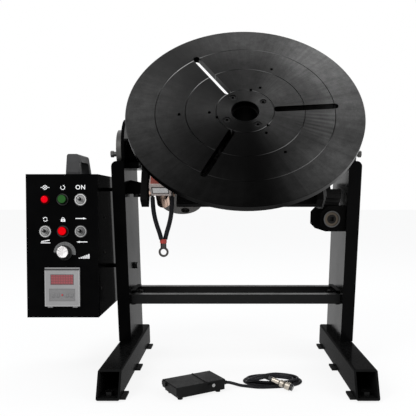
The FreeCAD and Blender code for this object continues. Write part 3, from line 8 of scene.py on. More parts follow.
# %% Load the CAD frame
import json
import math

import bmesh
import bpy
from mathutils import Matrix, Vector


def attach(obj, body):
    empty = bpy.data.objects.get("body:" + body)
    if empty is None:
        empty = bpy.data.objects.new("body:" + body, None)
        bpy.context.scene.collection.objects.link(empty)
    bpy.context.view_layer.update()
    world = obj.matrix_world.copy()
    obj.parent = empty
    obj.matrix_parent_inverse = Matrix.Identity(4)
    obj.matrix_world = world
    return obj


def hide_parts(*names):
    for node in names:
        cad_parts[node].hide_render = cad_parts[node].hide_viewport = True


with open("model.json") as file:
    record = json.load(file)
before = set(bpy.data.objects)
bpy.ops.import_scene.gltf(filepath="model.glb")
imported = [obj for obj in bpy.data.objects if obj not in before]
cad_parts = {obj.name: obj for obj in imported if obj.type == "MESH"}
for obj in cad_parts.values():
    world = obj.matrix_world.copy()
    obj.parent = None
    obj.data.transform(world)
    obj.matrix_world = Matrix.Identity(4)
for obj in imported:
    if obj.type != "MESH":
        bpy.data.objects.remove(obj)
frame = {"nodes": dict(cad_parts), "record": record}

for name in ("Cube", "Light", "Camera"):
    if name in bpy.data.objects:
        bpy.data.objects.remove(bpy.data.objects[name])
nodes = frame["nodes"]
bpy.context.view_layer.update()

# %% [markdown]
# ## Two working frames
# Two parts of the machine lean: the table's cradle is tilted back, and the control panel slopes.
# A matrix for each lets a detail be drawn flat, in millimetres, and then set down where it belongs.
# Their places and angles repeat the CAD model's own sizes.

# %% Frames for the leaning parts
MM = 0.001
table_tilt = math.radians(51)
panel_slope = math.radians(11.1)
cradle = Matrix.Translation((0, 0.122, 0.477)) @ Matrix.Rotation(table_tilt, 4, "X")
panel = Matrix.Translation((-0.365, -0.065, 0.134)) @ Matrix.Rotation(math.radians(90) - panel_slope, 4, "X")
# Where the controls stand on the panel, in millimetres across and up.
controls = {"lamp": (-35, 245.5), "green": (2, 245.5), "power": (39, 245.5),
            "mode": (-35, 179.5), "red": (2, 179.5), "direction": (39, 179.5)}
knob_u, knob_v = 5, 135
meter_u, meter_v = 0.5, 62.3
table_centre = cradle @ Vector((0.01735, 0, 0.1256))
table_axis = (cradle.to_3x3() @ Vector((0, 0, 1))).normalized()
print("table centre", table_centre, "axis", table_axis)

# %% [markdown]
# ## Camera
# The camera stands level with the machine's middle and looks slightly down. A lens shift then frames
# the object without turning the camera any further.

# %% Camera
camera_data = bpy.data.cameras.new("camera")
camera_data.lens = 46.47
camera_data.shift_x = -0.0446
camera_data.shift_y = 0.2798
camera = bpy.data.objects.new("camera", camera_data)
camera.location = (-0.0216, -1.1672, 0.375)
camera.rotation_euler = (math.radians(90 - 13.07), 0, 0)
bpy.context.scene.collection.objects.link(camera)
bpy.context.scene.camera = camera
bpy.context.scene.view_settings.view_transform = "Standard"
print("camera at", camera.location)

# %% [markdown]
# ## Floor, world and lamps
# The studio is plain white. The camera, mirrors and glass see a white world, while matt surfaces get
# a softer light from it. The floor shows white too, but part of its colour is real diffuse paint, so
# that the soft shadow under the feet stays.

# %% World
world = bpy.data.worlds.new("studio")
bpy.context.scene.world = world
world.use_nodes = True
tree = world.node_tree
tree.nodes.clear()
output = tree.nodes.new("ShaderNodeOutputWorld")
mix = tree.nodes.new("ShaderNodeMixShader")
soft = tree.nodes.new("ShaderNodeBackground")
white = tree.nodes.new("ShaderNodeBackground")
soft.inputs["Color"].default_value = (0.95, 0.97, 1, 1)
soft.inputs["Strength"].default_value = 0.7
white.inputs["Color"].default_value = (1, 1, 1, 1)
white.inputs["Strength"].default_value = 1


def seen_rays(tree):
    """A value of 1 where the camera, a reflection or a view through glass looks."""
    rays = tree.nodes.new("ShaderNodeLightPath")
    seen = rays.outputs["Is Camera Ray"]
    for more in ("Is Glossy Ray", "Is Transmission Ray"):
        either = tree.nodes.new("ShaderNodeMath")
        either.operation = "MAXIMUM"
        tree.links.new(seen, either.inputs[0])
        tree.links.new(rays.outputs[more], either.inputs[1])
        seen = either.outputs[0]
    return seen


tree.links.new(seen_rays(tree), mix.inputs[0])
tree.links.new(soft.outputs[0], mix.inputs[1])
tree.links.new(white.outputs[0], mix.inputs[2])
tree.links.new(mix.outputs[0], output.inputs[0])
print("world nodes:", len(tree.nodes))

# %% Floor
bpy.ops.object.select_all(action="DESELECT")
bpy.ops.mesh.primitive_plane_add(size=40, location=(0, 0, 0))
floor = bpy.context.object
floor.name = "floor"
paint = bpy.data.materials.new("studio_floor")
paint.use_nodes = True
tree = paint.node_tree
tree.nodes.clear()
output = tree.nodes.new("ShaderNodeOutputMaterial")
matt = tree.nodes.new("ShaderNodeBsdfDiffuse")
matt.inputs["Color"].default_value = (0.95, 0.95, 0.95, 1)
bright = tree.nodes.new("ShaderNodeEmission")
mix = tree.nodes.new("ShaderNodeMixShader")
level = tree.nodes.new("ShaderNodeMath")
level.operation = "MULTIPLY"
level.inputs[1].default_value = 0.86
tree.links.new(seen_rays(tree), level.inputs[0])
tree.links.new(level.outputs[0], mix.inputs[0])
tree.links.new(matt.outputs[0], mix.inputs[1])
tree.links.new(bright.outputs[0], mix.inputs[2])
tree.links.new(mix.outputs[0], output.inputs[0])
floor.data.materials.append(paint)
print("floor:", tuple(floor.dimensions))


# %% Lamps
def soft_box(name, place, target, width, power):
    lamp = bpy.data.lights.new(name, "AREA")
    lamp.shape = "SQUARE"
    lamp.size = width
    lamp.energy = power
    box = bpy.data.objects.new(name, lamp)
    box.location = place
    box.rotation_euler = (Vector(target) - Vector(place)).to_track_quat("-Z", "Y").to_euler()
    bpy.context.scene.collection.objects.link(box)
    return box


soft_box("key_lamp", (-1.6, -1.6, 2.2), (0, 0, 0.4), 1.2, 32)
soft_box("fill_lamp", (1.9, -1.3, 1.3), (0, 0, 0.4), 1.2, 14)
soft_box("top_lamp", (0.2, 1.2, 2.4), (0, 0, 0.5), 1.0, 16)

# %% [markdown]
# ## Small helpers for the cables
# A cable is one smooth NURBS line with a round bevel. The order is set after the points, because
# a spline with too few points falls back to straight runs.

# %% A cable from listed points
def cable(name, points, radius):
    data = bpy.data.curves.new(name, "CURVE")
    data.dimensions = "3D"
    line = data.splines.new("NURBS")
    line.points.add(len(points) - 1)
    for knot, place in zip(line.points, points):
        knot.co = (*place, 1)
        knot.radius = radius
    line.order_u = 3
    line.use_endpoint_u = True
    line.resolution_u = 12
    data.bevel_depth = 1.0
    data.bevel_resolution = 5
    data.use_fill_caps = True
    piece = bpy.data.objects.new(name, data)
    bpy.context.scene.collection.objects.link(piece)
    return piece

# %% [markdown]
# ## The two ground leads
# Two sleeved leads hang in a V from the stud of the copper contact and meet in one crimped lug,
# where the welder's ground clamp is bolted. They leave the eyes straight down, then lean inwards.

# %% Ground leads
lead_pivot = Vector((-0.160, 0.01965, 0.38874))
lead_fall = [(0.0208, 0, 0.008), (0.0205, 0.0003, 0.028), (0.0176, 0.0012, 0.050),
             (0.0122, 0.0024, 0.070), (0.0066, 0.0034, 0.086), (0.0038, 0.0039, 0.0980)]
lead_pieces = []
for name, side in (("left", -1), ("right", 1)):
    points = [lead_pivot + Vector((side * across, side * aside, -down))
              for across, aside, down in lead_fall]
    lead = cable(f"{name}_lead_sleeve", points, 0.005)
    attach(lead, "leads")
    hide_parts(f"{name}_lead")
    lead_pieces.append(lead)
print("leads:", [piece.name for piece in lead_pieces])

# %% [markdown]
# ## The foot switch's cable
# A thin control cable leaves the foot switch, comes round to the front and winds into a flat oval
# coil with its round connector lying on top. The coil is part of the same line: two turns on the
# floor that wind inwards, a third that climbs, and one and a half on top that wind outwards again.
# Two known faults stay: the turns on top sink into those below, and the last turn cuts across to
# the connector with a tight kink, where the cable should come further round first.

# %% Foot switch cable with its coil
cord_radius = 0.0032
cord_route = [(-0.0308, -0.1375, 0.0150), (-0.0202, -0.1307, 0.0143), (-0.0080, -0.1258, 0.0097),
              (0.0054, -0.1237, 0.0047), (0.0193, -0.1249, 0.0034), (0.0332, -0.1293, 0.0032),
              (0.0473, -0.1324, 0.0032)]
# One row for the start of each turn: half width, half depth, height, and a small drift of its centre.
turn_rows = [(65.0, 38.1, 3.2, 0, 0), (57.6, 31.2, 3.2, 0.6, 0.3), (49.4, 25.2, 3.2, 0.2, 0),
             (44.6, 23.6, 6.2, -0.6, 0), (55.0, 27.6, 9.0, -0.4, 0.2), (61.6, 34.2, 9.2, 0, 0)]
coil_x, coil_y = 73, -92
turns, points_a_turn = 4.5, 12
coil_points = []
for step in range(int(turns * points_a_turn) + 1):
    turn, share = divmod(step / points_a_turn, 1)
    row, following = turn_rows[int(turn)], turn_rows[int(turn) + 1]
    wide, deep, height, drift_x, drift_y = (a + (b - a) * share for a, b in zip(row, following))
    angle = math.radians(-90 + 360 * step / points_a_turn)
    across = coil_x + drift_x + wide * math.cos(angle)
    back = coil_y + drift_y + deep * math.sin(angle)
    coil_points.append((MM * across, MM * back, MM * height))
cord_end = [(0.0180, -0.1080, 0.0102), (0.0330, -0.1195, 0.0140), (0.0480, -0.1240, 0.0200),
            (0.0580, -0.1240, 0.0228), (0.0641, -0.1263, 0.0216)]
foot_cord = cable("foot_switch_cable", cord_route + coil_points + cord_end, cord_radius)
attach(foot_cord, "stand")
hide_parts("pedal_cord", "pedal_coil")
print("foot switch cable points:", len(cord_route + coil_points + cord_end))

# %% [markdown]
# ## Shader helpers
# A material is a small tree of nodes. Small helpers keep the trees short to write: the first adds a
# node with its settings and links, and the others are the nodes that come up again and again. An
# effect that many finishes share, such as the paint skin, is a node group, built once and reused.

# %% Node helpers
def make(tree, kind, sockets=(), **settings):
    """A shader node with its settings; each socket gets a value or another node's output."""
    made = tree.nodes.new("ShaderNode" + kind)
    for key, value in settings.items():
        setattr(made, key, value)
    for key, value in dict(sockets).items():
        if isinstance(value, bpy.types.NodeSocket):
            tree.links.new(value, made.inputs[key])
        else:
            made.inputs[key].default_value = value
    return made


def math_node(tree, operation, *values):
    return make(tree, "Math", dict(enumerate(values)), operation=operation).outputs[0]


def ranged(tree, source, first, last, low=0.0, high=1.0):
    """A value mapped from one range to another and held at both ends."""
    return make(tree, "MapRange", {0: source, 1: first, 2: last, 3: low, 4: high}).outputs[0]


def mixed(tree, share, first, second):
    """Two colours mixed by a share."""
    return make(tree, "Mix", {0: share, 6: first, 7: second}, data_type="RGBA").outputs[2]


def noise(tree, place, scale, detail, roughness=0.5):
    return make(tree, "TexNoise", {"Vector": place, "Scale": scale, "Detail": detail,
                                   "Roughness": roughness}).outputs["Fac"]


print("node helpers ready")

# %% Places in a frame, groups and materials
def frame_place(tree, location, rotation):
    """Object coordinates as a frame with this place and turn reads them."""
    return make(tree, "Mapping", {"Vector": make(tree, "TexCoord").outputs["Object"], "Location": location,
                                  "Rotation": rotation}, vector_type="TEXTURE").outputs[0]


def from_axis(tree, place, measure):
    """How far a place lies from its frame's Z axis (LENGTH), or in which direction (NORMALIZE)."""
    flat = make(tree, "VectorMath", {0: place, 1: (1, 1, 0)}, operation="MULTIPLY").outputs[0]
    found = make(tree, "VectorMath", {0: flat}, operation=measure)
    return found.outputs["Value" if measure == "LENGTH" else "Vector"]


def open_group(name, inputs, outputs):
    """A new node group: its tree, the node with its inputs and the node with its outputs."""
    tree = bpy.data.node_groups.new(name, "ShaderNodeTree")
    for label, kind, value in inputs:
        socket = tree.interface.new_socket(label, in_out="INPUT", socket_type="NodeSocket" + kind)
        if value is not None:
            socket.default_value = value
    for label, kind in outputs:
        tree.interface.new_socket(label, in_out="OUTPUT", socket_type="NodeSocket" + kind)
    return tree, tree.nodes.new("NodeGroupInput"), tree.nodes.new("NodeGroupOutput")


def opened(material):
    """A material's tree and its Principled shader."""
    return material.node_tree, material.node_tree.nodes["Principled BSDF"]


def new_material(name):
    material = bpy.data.materials.new(name)
    material.use_nodes = True
    return material, *opened(material)


def colour_of(shader):
    """The output that feeds a shader's base colour now."""
    return shader.inputs["Base Color"].links[0].from_socket


print("material helpers ready")

# %% [markdown]
# ## Skin: the shared surface of paint, plastic and rubber
# Powder coat has a fine orange peel and slow cloudy patches where hands and rags have polished it.
# Both are noises in object space: a fine one for the bump, and a coarse one for colour and gloss.

# %% Group: skin
tree, given, made = open_group("skin", [("Vector", "Vector", None), ("Grain", "Float", 900.0)],
                               [("Patches", "Float"), ("Height", "Float")])
coarse = noise(tree, given.outputs["Vector"], 14.0, 4.0, 0.6)
fine = noise(tree, given.outputs["Vector"], given.outputs["Grain"], 2.0)
tree.links.new(ranged(tree, coarse, 0.35, 0.7), made.inputs["Patches"])
tree.links.new(fine, made.inputs["Height"])
skin = tree
print("group:", skin.name)


# %% A material with the skin
def skinned(name, grain, open_rough, patch_rough, bump, depth):
    """A material with the skin's roughness and bump, and the skin's patches for its colour."""
    material, tree, shader = new_material(name)
    place = make(tree, "TexCoord").outputs["Object"]
    surface = make(tree, "Group", {"Vector": place, "Grain": grain}, node_tree=skin)
    rough = ranged(tree, surface.outputs["Patches"], 0, 1, open_rough, patch_rough)
    rise = make(tree, "Bump", {"Strength": bump, "Distance": depth, "Height": surface.outputs["Height"]})
    tree.links.new(rough, shader.inputs["Roughness"])
    tree.links.new(rise.outputs[0], shader.inputs["Normal"])
    return material, tree, shader, surface.outputs["Patches"]


print("skinned material ready")

# %% [markdown]
# ## Dust, and painted shade, on faces that look up
# Workshop dust lies where a face looks up. The normal's height gives the place and a noise breaks it
# up, so the box lid and the treadle look a little greyer than their sides. The feet and the crossbars
# have a darker second tone, so there the same mask paints shade on what looks up.

# %% Group: dust, and painted shade on tops
tree, given, made = open_group("dust_and_top_shade", [("Vector", "Vector", None)], [("Cover", "Float")])
facing = make(tree, "SeparateXYZ", {0: make(tree, "TexCoord").outputs["Normal"]})
upward = ranged(tree, facing.outputs["Z"], 0.5, 1.0)
broken = ranged(tree, noise(tree, given.outputs["Vector"], 160.0, 5.0, 0.75), 0.38, 0.72)
tree.links.new(math_node(tree, "MULTIPLY", upward, broken), made.inputs["Cover"])
dust_and_top_shade = tree
print("group:", dust_and_top_shade.name)

# %% [markdown]
# ## Painted and moulded finishes
# One function makes them all. The base colour drifts a little towards a second tone in the patches
# and on faces that look up: dust on most finishes, painted shade on the feet and crossbars. The
# roughness follows the patches, and the fine noise is the bump. A satin black keeps its depth only
# with a low specular level, because a white studio shines back from it.

# %% Painted finish
def painted(name, colour, second, roughness, gloss, grain=900.0, bump=0.25, top_tone_share=0.35):
    material, tree, shader, patches = skinned(name, grain, roughness * 1.2, roughness * 0.8, bump, 0.0003)
    place = make(tree, "TexCoord").outputs["Object"]
    dust_and_shade = make(tree, "Group", {"Vector": place}, node_tree=dust_and_top_shade)
    worn = math_node(tree, "MULTIPLY", patches, 0.35)
    amount = math_node(tree, "MULTIPLY_ADD", dust_and_shade.outputs["Cover"], top_tone_share, worn)
    tree.links.new(mixed(tree, amount, (*colour, 1), (*second, 1)), shader.inputs["Base Color"])
    shader.inputs["Specular IOR Level"].default_value = gloss
    return material


def grey(level):
    return (level, level, level)


# One row for each: colour, second tone, roughness, specular level, grain, bump, and the top tone's
# share (dust on most, painted shade on the feet and crossbars).
paints = {
    "black_powder": ((0.0014, 0.0014, 0.0015), grey(0.0045), 0.18, 0.007, 900.0, 0.05),
    "cradle_black": (grey(0.0022), (0.010, 0.0095, 0.009), 0.42, 0.03),
    "rubber_black": (grey(0.006), grey(0.03), 0.7, 0.1, 400.0, 0.4),
    "cable_black": ((0.0045, 0.0045, 0.0058), (0.022, 0.022, 0.026), 0.42, 0.12, 1400.0, 0.35),
    "bezel_black": (grey(0.006), grey(0.04), 0.3, 0.3, 1200.0, 0.1),
    "knob_black": (grey(0.006), grey(0.035), 0.4, 0.25, 1400.0, 0.15),
    "handle_grey": ((0.020, 0.020, 0.021), grey(0.07), 0.5, 0.25, 1100.0, 0.35),
    "pedal_grey": (grey(0.0035), grey(0.022), 0.42, 0.08, 700.0, 0.3, 0.9),
    "meter_grey": ((0.24, 0.235, 0.235), grey(0.34), 0.42, 0.3, 1500.0, 0.1, 0.1),
    "scale_grey": (grey(0.09), grey(0.22), 0.35, 0.4, 1500.0, 0.05, 0.1),
    "gearbox_iron": ((0.006, 0.006, 0.0065), (0.03, 0.028, 0.026), 0.5, 0.15, 260.0, 0.6),
    "column_black": ((0.0014, 0.0014, 0.0015), grey(0.0045), 0.20, 0.028, 900.0, 0.05),
    "trough_black": (grey(0.003), (0.012, 0.0115, 0.011), 0.3, 0.0, 900.0, 0.1),
    "sector_black": (grey(0.006), (0.03, 0.029, 0.028), 0.3, 0.003, 900.0, 0.2),
    "box_black": ((0.0013, 0.0013, 0.0014), grey(0.003), 0.06, 0.010, 900.0, 0.01),
    # Painted shade: the crossbars and feet have a darker second tone, so the mask darkens their tops.
    "bar_black": (grey(0.0125), grey(0.0075), 0.32, 0.05),
    "foot_black": (grey(0.0085), grey(0.0012), 0.15, 0.0015, 900.0, 0.05, 1.0),
}
finishes = {name: painted(name, *numbers) for name, numbers in paints.items()}
print("painted finishes:", sorted(finishes))

# %% [markdown]
# ## Bare metals
# Steel, copper and nickel take their colour from what they reflect, so the metal's own colour is
# kept modest. Fine cloudy noise in the roughness keeps a machined face from looking like chrome.

# %% Metal finish
def bare_metal(name, colour, stained, roughness, stain=0.6, grain=500.0):
    material, tree, shader, patches = skinned(name, grain, roughness, roughness + 0.12, 0.15, 0.0002)
    amount = math_node(tree, "MULTIPLY", patches, stain)
    tree.links.new(mixed(tree, amount, (*colour, 1), (*stained, 1)), shader.inputs["Base Color"])
    shader.inputs["Metallic"].default_value = 1
    return material


# One row for each: colour, stained colour, roughness, how strong the stains are, and grain.
metals = {
    "bright_steel": ((0.085, 0.084, 0.082), (0.028, 0.027, 0.026), 0.32),
    "bolt_steel": (grey(0.020), grey(0.006), 0.4),
    "bronze": ((0.085, 0.07, 0.055), (0.03, 0.026, 0.022), 0.35),
    "gear_steel": ((0.016, 0.0155, 0.015), grey(0.004), 0.28),
    "motor_alloy": ((0.16, 0.155, 0.15), (0.07, 0.068, 0.066), 0.45, 0.6, 260.0),
    "copper": ((0.62, 0.44, 0.35), (0.22, 0.13, 0.09), 0.2),
    "lug_metal": ((0.075, 0.070, 0.066), (0.025, 0.023, 0.022), 0.35),
    "switch_chrome": (grey(0.34), grey(0.05), 0.16, 1.0),
    "socket_metal": ((0.45, 0.44, 0.42), grey(0.2), 0.28),
    "plug_metal": ((0.72, 0.66, 0.57), (0.16, 0.14, 0.12), 0.22, 0.8),
}
finishes.update({name: bare_metal(name, *numbers) for name, numbers in metals.items()})
print("finishes so far:", len(finishes))

# %% [markdown]
# ## Turned plate
# The table's face is blackened steel off a lathe. Its tool leaves hundreds of fine rings, and
# light smears across them into sectors. A group works in polar terms: the angle round the axis picks a
# painted sheen of light and dark sectors from a ramp, darker towards the middle, fine radial streaks
# and rings break it up, a fan of painted bright lines lies beside one slot, and a second ramp paints
# highlights on the scribed circles on the sides that face the lamps at rest. Both ramps are paint on
# the plate, so they turn with the table. The shader's own anisotropy, along a tangent round the axis,
# gives the rest.

# %% Group: turning marks and painted sheen, in polar terms
tree, given, made = open_group("turning_marks_and_sheen", [("Vector", "Vector", None)],
                               [("Tone", "Color"), ("Height", "Float")])
radius = from_axis(tree, given.outputs[0], "LENGTH")
outward = from_axis(tree, given.outputs[0], "NORMALIZE")
sides = make(tree, "SeparateXYZ", {0: outward})
turned = math_node(tree, "ARCTAN2", sides.outputs["Y"], sides.outputs["X"])
share = math_node(tree, "FRACT", math_node(tree, "DIVIDE", turned, 2 * math.pi))


def ring_ramp(tree, source, stops):
    """A smooth ramp round a full turn, from pairs of degrees and grey."""
    ramp = make(tree, "ValToRGB", {"Fac": source})
    ramp.color_ramp.interpolation = "CARDINAL"
    ramp.color_ramp.elements.remove(ramp.color_ramp.elements[1])
    for i, (degrees, level) in enumerate(stops):
        stop = ramp.color_ramp.elements[0] if i == 0 else ramp.color_ramp.elements.new(degrees / 360)
        stop.position = degrees / 360
        stop.color = (*grey(level), 1)
    return ramp.outputs["Color"]


print("polar frame nodes:", len(tree.nodes))

# %% Turning marks: painted sheen sectors, streaks, rings and blotches
# Painted sheen: the angle round the axis picks light and dark sectors, as lamps make on turned steel.
sheen_sectors = ring_ramp(tree, share, [(0, 0.072), (22, 0.080), (46, 0.108), (68, 0.062), (92, 0.052), (116, 0.022),
                                (136, 0.008), (156, 0.026), (182, 0.044), (208, 0.024), (232, 0.010),
                                (262, 0.004), (288, 0.006), (306, 0.034), (326, 0.056), (345, 0.052),
                                (360, 0.072)])
streaks = ranged(tree, noise(tree, outward, 11.0, 7.0, 0.8), 0.3, 0.7, 0.74, 1.26)
rings = make(tree, "TexNoise", {"W": math_node(tree, "MULTIPLY", radius, 1500.0), "Scale": 1.0,
                                "Detail": 2.0}, noise_dimensions="1D").outputs["Fac"]
ringed = ranged(tree, rings, 0.3, 0.7, 0.8, 1.2)
blotches = ranged(tree, noise(tree, given.outputs[0], 30.0, 8.0, 0.8), 0.3, 0.7, 0.6, 1.4)
# The painted sheen is darker towards the middle of the plate.
outer = make(tree, "MapRange", {0: radius, 1: 0.125, 2: 0.215, 3: 0.40, 4: 1.0},
             interpolation_type="SMOOTHSTEP").outputs[0]
level = math_node(tree, "MULTIPLY", math_node(tree, "MULTIPLY", streaks, ringed),
                  math_node(tree, "MULTIPLY", blotches, outer))
print("sectors and noise ready")

# %% Turning marks: a painted reflection, a fan of fine bright lines beside one slot
# Painted reflection: a fan of light lines beside one slot, added to the plate's tone.
ripple = math_node(tree, "SINE", math_node(tree, "MULTIPLY", turned, 95.0))
fan_glints = math_node(tree, "MULTIPLY_ADD", ripple, 0.5, 0.5)
fan_edges = [(turned, -0.46, -0.40), (turned, -0.02, -0.06), (radius, 0.10, 0.15), (radius, 0.188, 0.187)]
for source, first, last in fan_edges:
    fan_glints = math_node(tree, "MULTIPLY", fan_glints, ranged(tree, source, first, last))
level = math_node(tree, "ADD", level, math_node(tree, "MULTIPLY", fan_glints, 0.45))
plain = make(tree, "VectorMath", {0: sheen_sectors, 3: level}, operation="SCALE").outputs[0]
print("fan edges:", len(fan_edges))

# %% Turning marks: painted highlights on the scribed circles, and the dark rim
scribed_radii = (0.061, 0.125, 0.188)
rim_start, rim_full = 0.2494, 0.2497
# Painted highlight: the scribed circles brighten on the sides that faced the lamps at rest.
circle_highlights = ring_ramp(tree, share, [(0, 0.012), (55, 0.02), (72, 0.16), (95, 0.02), (112, 0.10), (138, 0.45),
                                (165, 0.06), (220, 0.01), (240, 0.06), (280, 0.015), (300, 0.22),
                                (322, 0.36), (342, 0.03), (360, 0.012)])
line = None
for scribed in scribed_radii:
    off_line = math_node(tree, "ABSOLUTE", math_node(tree, "SUBTRACT", radius, scribed))
    near = ranged(tree, off_line, 0.0004, 0.0009, 1.0, 0.0)
    line = near if line is None else math_node(tree, "MAXIMUM", line, near)
scored = mixed(tree, line, plain, circle_highlights)
edged = mixed(tree, ranged(tree, radius, rim_start, rim_full), scored, (*grey(0.010), 1))
tree.links.new(edged, made.inputs["Tone"])
tree.links.new(rings, made.inputs["Height"])
turning_marks_and_sheen = tree
print("group:", turning_marks_and_sheen.name)

# %% Turned plate
finishes["table_steel"], tree, shader = new_material("table_steel")
centred = frame_place(tree, table_centre, (table_tilt, 0, 0))
marks = make(tree, "Group", {"Vector": centred}, node_tree=turning_marks_and_sheen)
rise = make(tree, "Bump", {"Strength": 0.12, "Distance": 0.0001, "Height": marks.outputs["Height"]})
place = make(tree, "TexCoord").outputs["Object"]
spoke = make(tree, "VectorMath", {0: place, 1: table_centre}, operation="SUBTRACT").outputs[0]
round_way = make(tree, "VectorMath", {0: table_axis, 1: spoke}, operation="CROSS_PRODUCT").outputs[0]
tangent = make(tree, "VectorTransform", {0: round_way}, vector_type="VECTOR", convert_from="OBJECT",
               convert_to="WORLD").outputs[0]
tree.links.new(marks.outputs["Tone"], shader.inputs["Base Color"])
tree.links.new(rise.outputs[0], shader.inputs["Normal"])
tree.links.new(tangent, shader.inputs["Tangent"])
shader.inputs["Metallic"].default_value = 1
shader.inputs["Roughness"].default_value = 0.32
shader.inputs["Anisotropic"].default_value = 0.7
print("turned plate ready")

# %% [markdown]
# ## Lamp and buttons
# The pilot lamp and the two buttons are coloured plastic. A thin coat gives them a small sharp glint
# over a soft body colour, and their skirts carry painted shade, much darker than their faces.

# %% Coloured plastics
def coloured(name, colour, deeper, centre, face):
    """A coloured cap round a point of the panel, with painted shade on its skirt."""
    material = painted(name, colour, deeper, 0.35, 0.01, 1600.0, 0.05, 0.0)
    tree, shader = opened(material)
    place = frame_place(tree, panel @ Vector((centre[0] * MM, centre[1] * MM, 0)), panel.to_euler())
    # Painted shade: beyond the face's radius the cap's skirt is darkened to 6 % of its colour.
    shaded_skirt = ranged(tree, from_axis(tree, place, "LENGTH"), face, face + 0.0012)
    skirt_shade = mixed(tree, shaded_skirt, colour_of(shader), (*[0.06 * part for part in colour], 1))
    tree.links.new(skirt_shade, shader.inputs["Base Color"])
    shader.inputs["Coat Weight"].default_value = 0.02
    shader.inputs["Coat Roughness"].default_value = 0.12
    return material


caps = {
    "lamp_red": ((0.80, 0.0004, 0.008), (0.70, 0.0003, 0.005), controls["lamp"], 0.0064),
    "button_green": ((0.021, 0.085, 0.019), (0.028, 0.11, 0.026), controls["green"], 0.0076),
    "button_red": ((0.74, 0.0004, 0.004), (0.66, 0.0003, 0.003), controls["red"], 0.0076),
}
finishes.update({name: coloured(name, *numbers) for name, numbers in caps.items()})
print("coloured plastics ready")

# %% [markdown]
# ## Display window and keys
# The counter's window is a smoked red filter with a faint grid of dots, as unlit digits show. The
# keys lie on a grey field with a fine dot print. Both patterns are drawn in the panel's own frame.

# %% Window and keys
def dotted(name, colour, dark, pitch, roughness, gloss):
    """A moulded face with a fine grid of dots in the panel's frame."""
    material, tree, shader = new_material(name)
    cells = make(tree, "TexVoronoi", {"Vector": frame_place(tree, panel.translation, panel.to_euler()),
                                      "Scale": 1000 / pitch, "Randomness": 0.0}, voronoi_dimensions="2D")
    dots = ranged(tree, cells.outputs["Distance"], 0.2, 0.42)
    place = make(tree, "TexCoord").outputs["Object"]
    surface = make(tree, "Group", {"Vector": place, "Grain": 1500.0}, node_tree=skin)
    rough = ranged(tree, surface.outputs["Patches"], 0, 1, roughness, roughness + 0.1)
    tree.links.new(mixed(tree, dots, (*colour, 1), (*dark, 1)), shader.inputs["Base Color"])
    tree.links.new(rough, shader.inputs["Roughness"])
    shader.inputs["Specular IOR Level"].default_value = gloss
    return material


finishes["window_red"] = dotted("window_red", (0.30, 0.055, 0.065), (0.17, 0.04, 0.045), 5.2, 0.2, 0.5)
finishes["keys_grey"] = dotted("keys_grey", grey(0.10), (0.21, 0.205, 0.205), 2.2, 0.5, 0.3)
print("window and keys ready")

# %% [markdown]
# ## Brush holder
# The brush holder is a fibre block: its upper face is painted coral, and its sides are bare board. A
# step on the height above the cradle plate splits the two, in the cradle's own frame.

# %% Brush holder
holder = painted("brush_plastic", (0.36, 0.31, 0.29), (0.5, 0.45, 0.42), 0.5, 0.3, 700.0, 0.3, 0.1)
tree, shader = opened(holder)
local = frame_place(tree, cradle.translation, (table_tilt, 0, 0))
height = make(tree, "SeparateXYZ", {0: local}).outputs["Z"]
above = ranged(tree, height, 0.0694, 0.0698)
coral = mixed(tree, above, colour_of(shader), (0.30, 0.075, 0.06, 1))
tree.links.new(coral, shader.inputs["Base Color"])
finishes["brush_plastic"] = holder
print("brush holder ready")

# %% [markdown]
# ## Spun aluminium and the lug's red band
# The knob's cap has the fan of light that a spun face shows, painted as a tone that changes with the
# angle round the knob. The lug is one CAD solid, but its sleeve end is wrapped in red tape: a step on
# the height switches the lug's colour and its metalness.

# %% Spun cap alloy
finishes["cap_alloy"] = bare_metal("cap_alloy", grey(0.80), grey(0.45), 0.25, 0.35)
tree, shader = opened(finishes["cap_alloy"])
spun = frame_place(tree, panel @ Vector((knob_u * MM, knob_v * MM, 0)), panel.to_euler())
fan = ranged(tree, noise(tree, from_axis(tree, spun, "NORMALIZE"), 2.6, 4.0, 0.7), 0.36, 0.62)
tree.links.new(mixed(tree, fan, (*grey(0.34), 1), (0.98, 0.95, 0.95, 1)), shader.inputs["Base Color"])
print("cap alloy ready")

# %% Lug with red tape
tree, shader = opened(finishes["lug_metal"])
height = make(tree, "SeparateXYZ", {0: make(tree, "TexCoord").outputs["Object"]}).outputs["Z"]
tape_low, tape_high = 0.2815, 0.3
taped = math_node(tree, "MULTIPLY", ranged(tree, height, tape_low, tape_low + 0.0005),
                  math_node(tree, "LESS_THAN", height, tape_high))
tree.links.new(mixed(tree, taped, colour_of(shader), (0.36, 0.022, 0.012, 1)), shader.inputs["Base Color"])
tree.links.new(math_node(tree, "SUBTRACT", 1.0, taped), shader.inputs["Metallic"])
print("lug ready")

# %% [markdown]
# ## Connector: boot, nickel and insert in one solid
# The plug on the foot switch cable is one CAD solid, but it is three materials: a rubber boot, a
# nickel shell and a black insert. The distance along the plug's own axis picks between them.

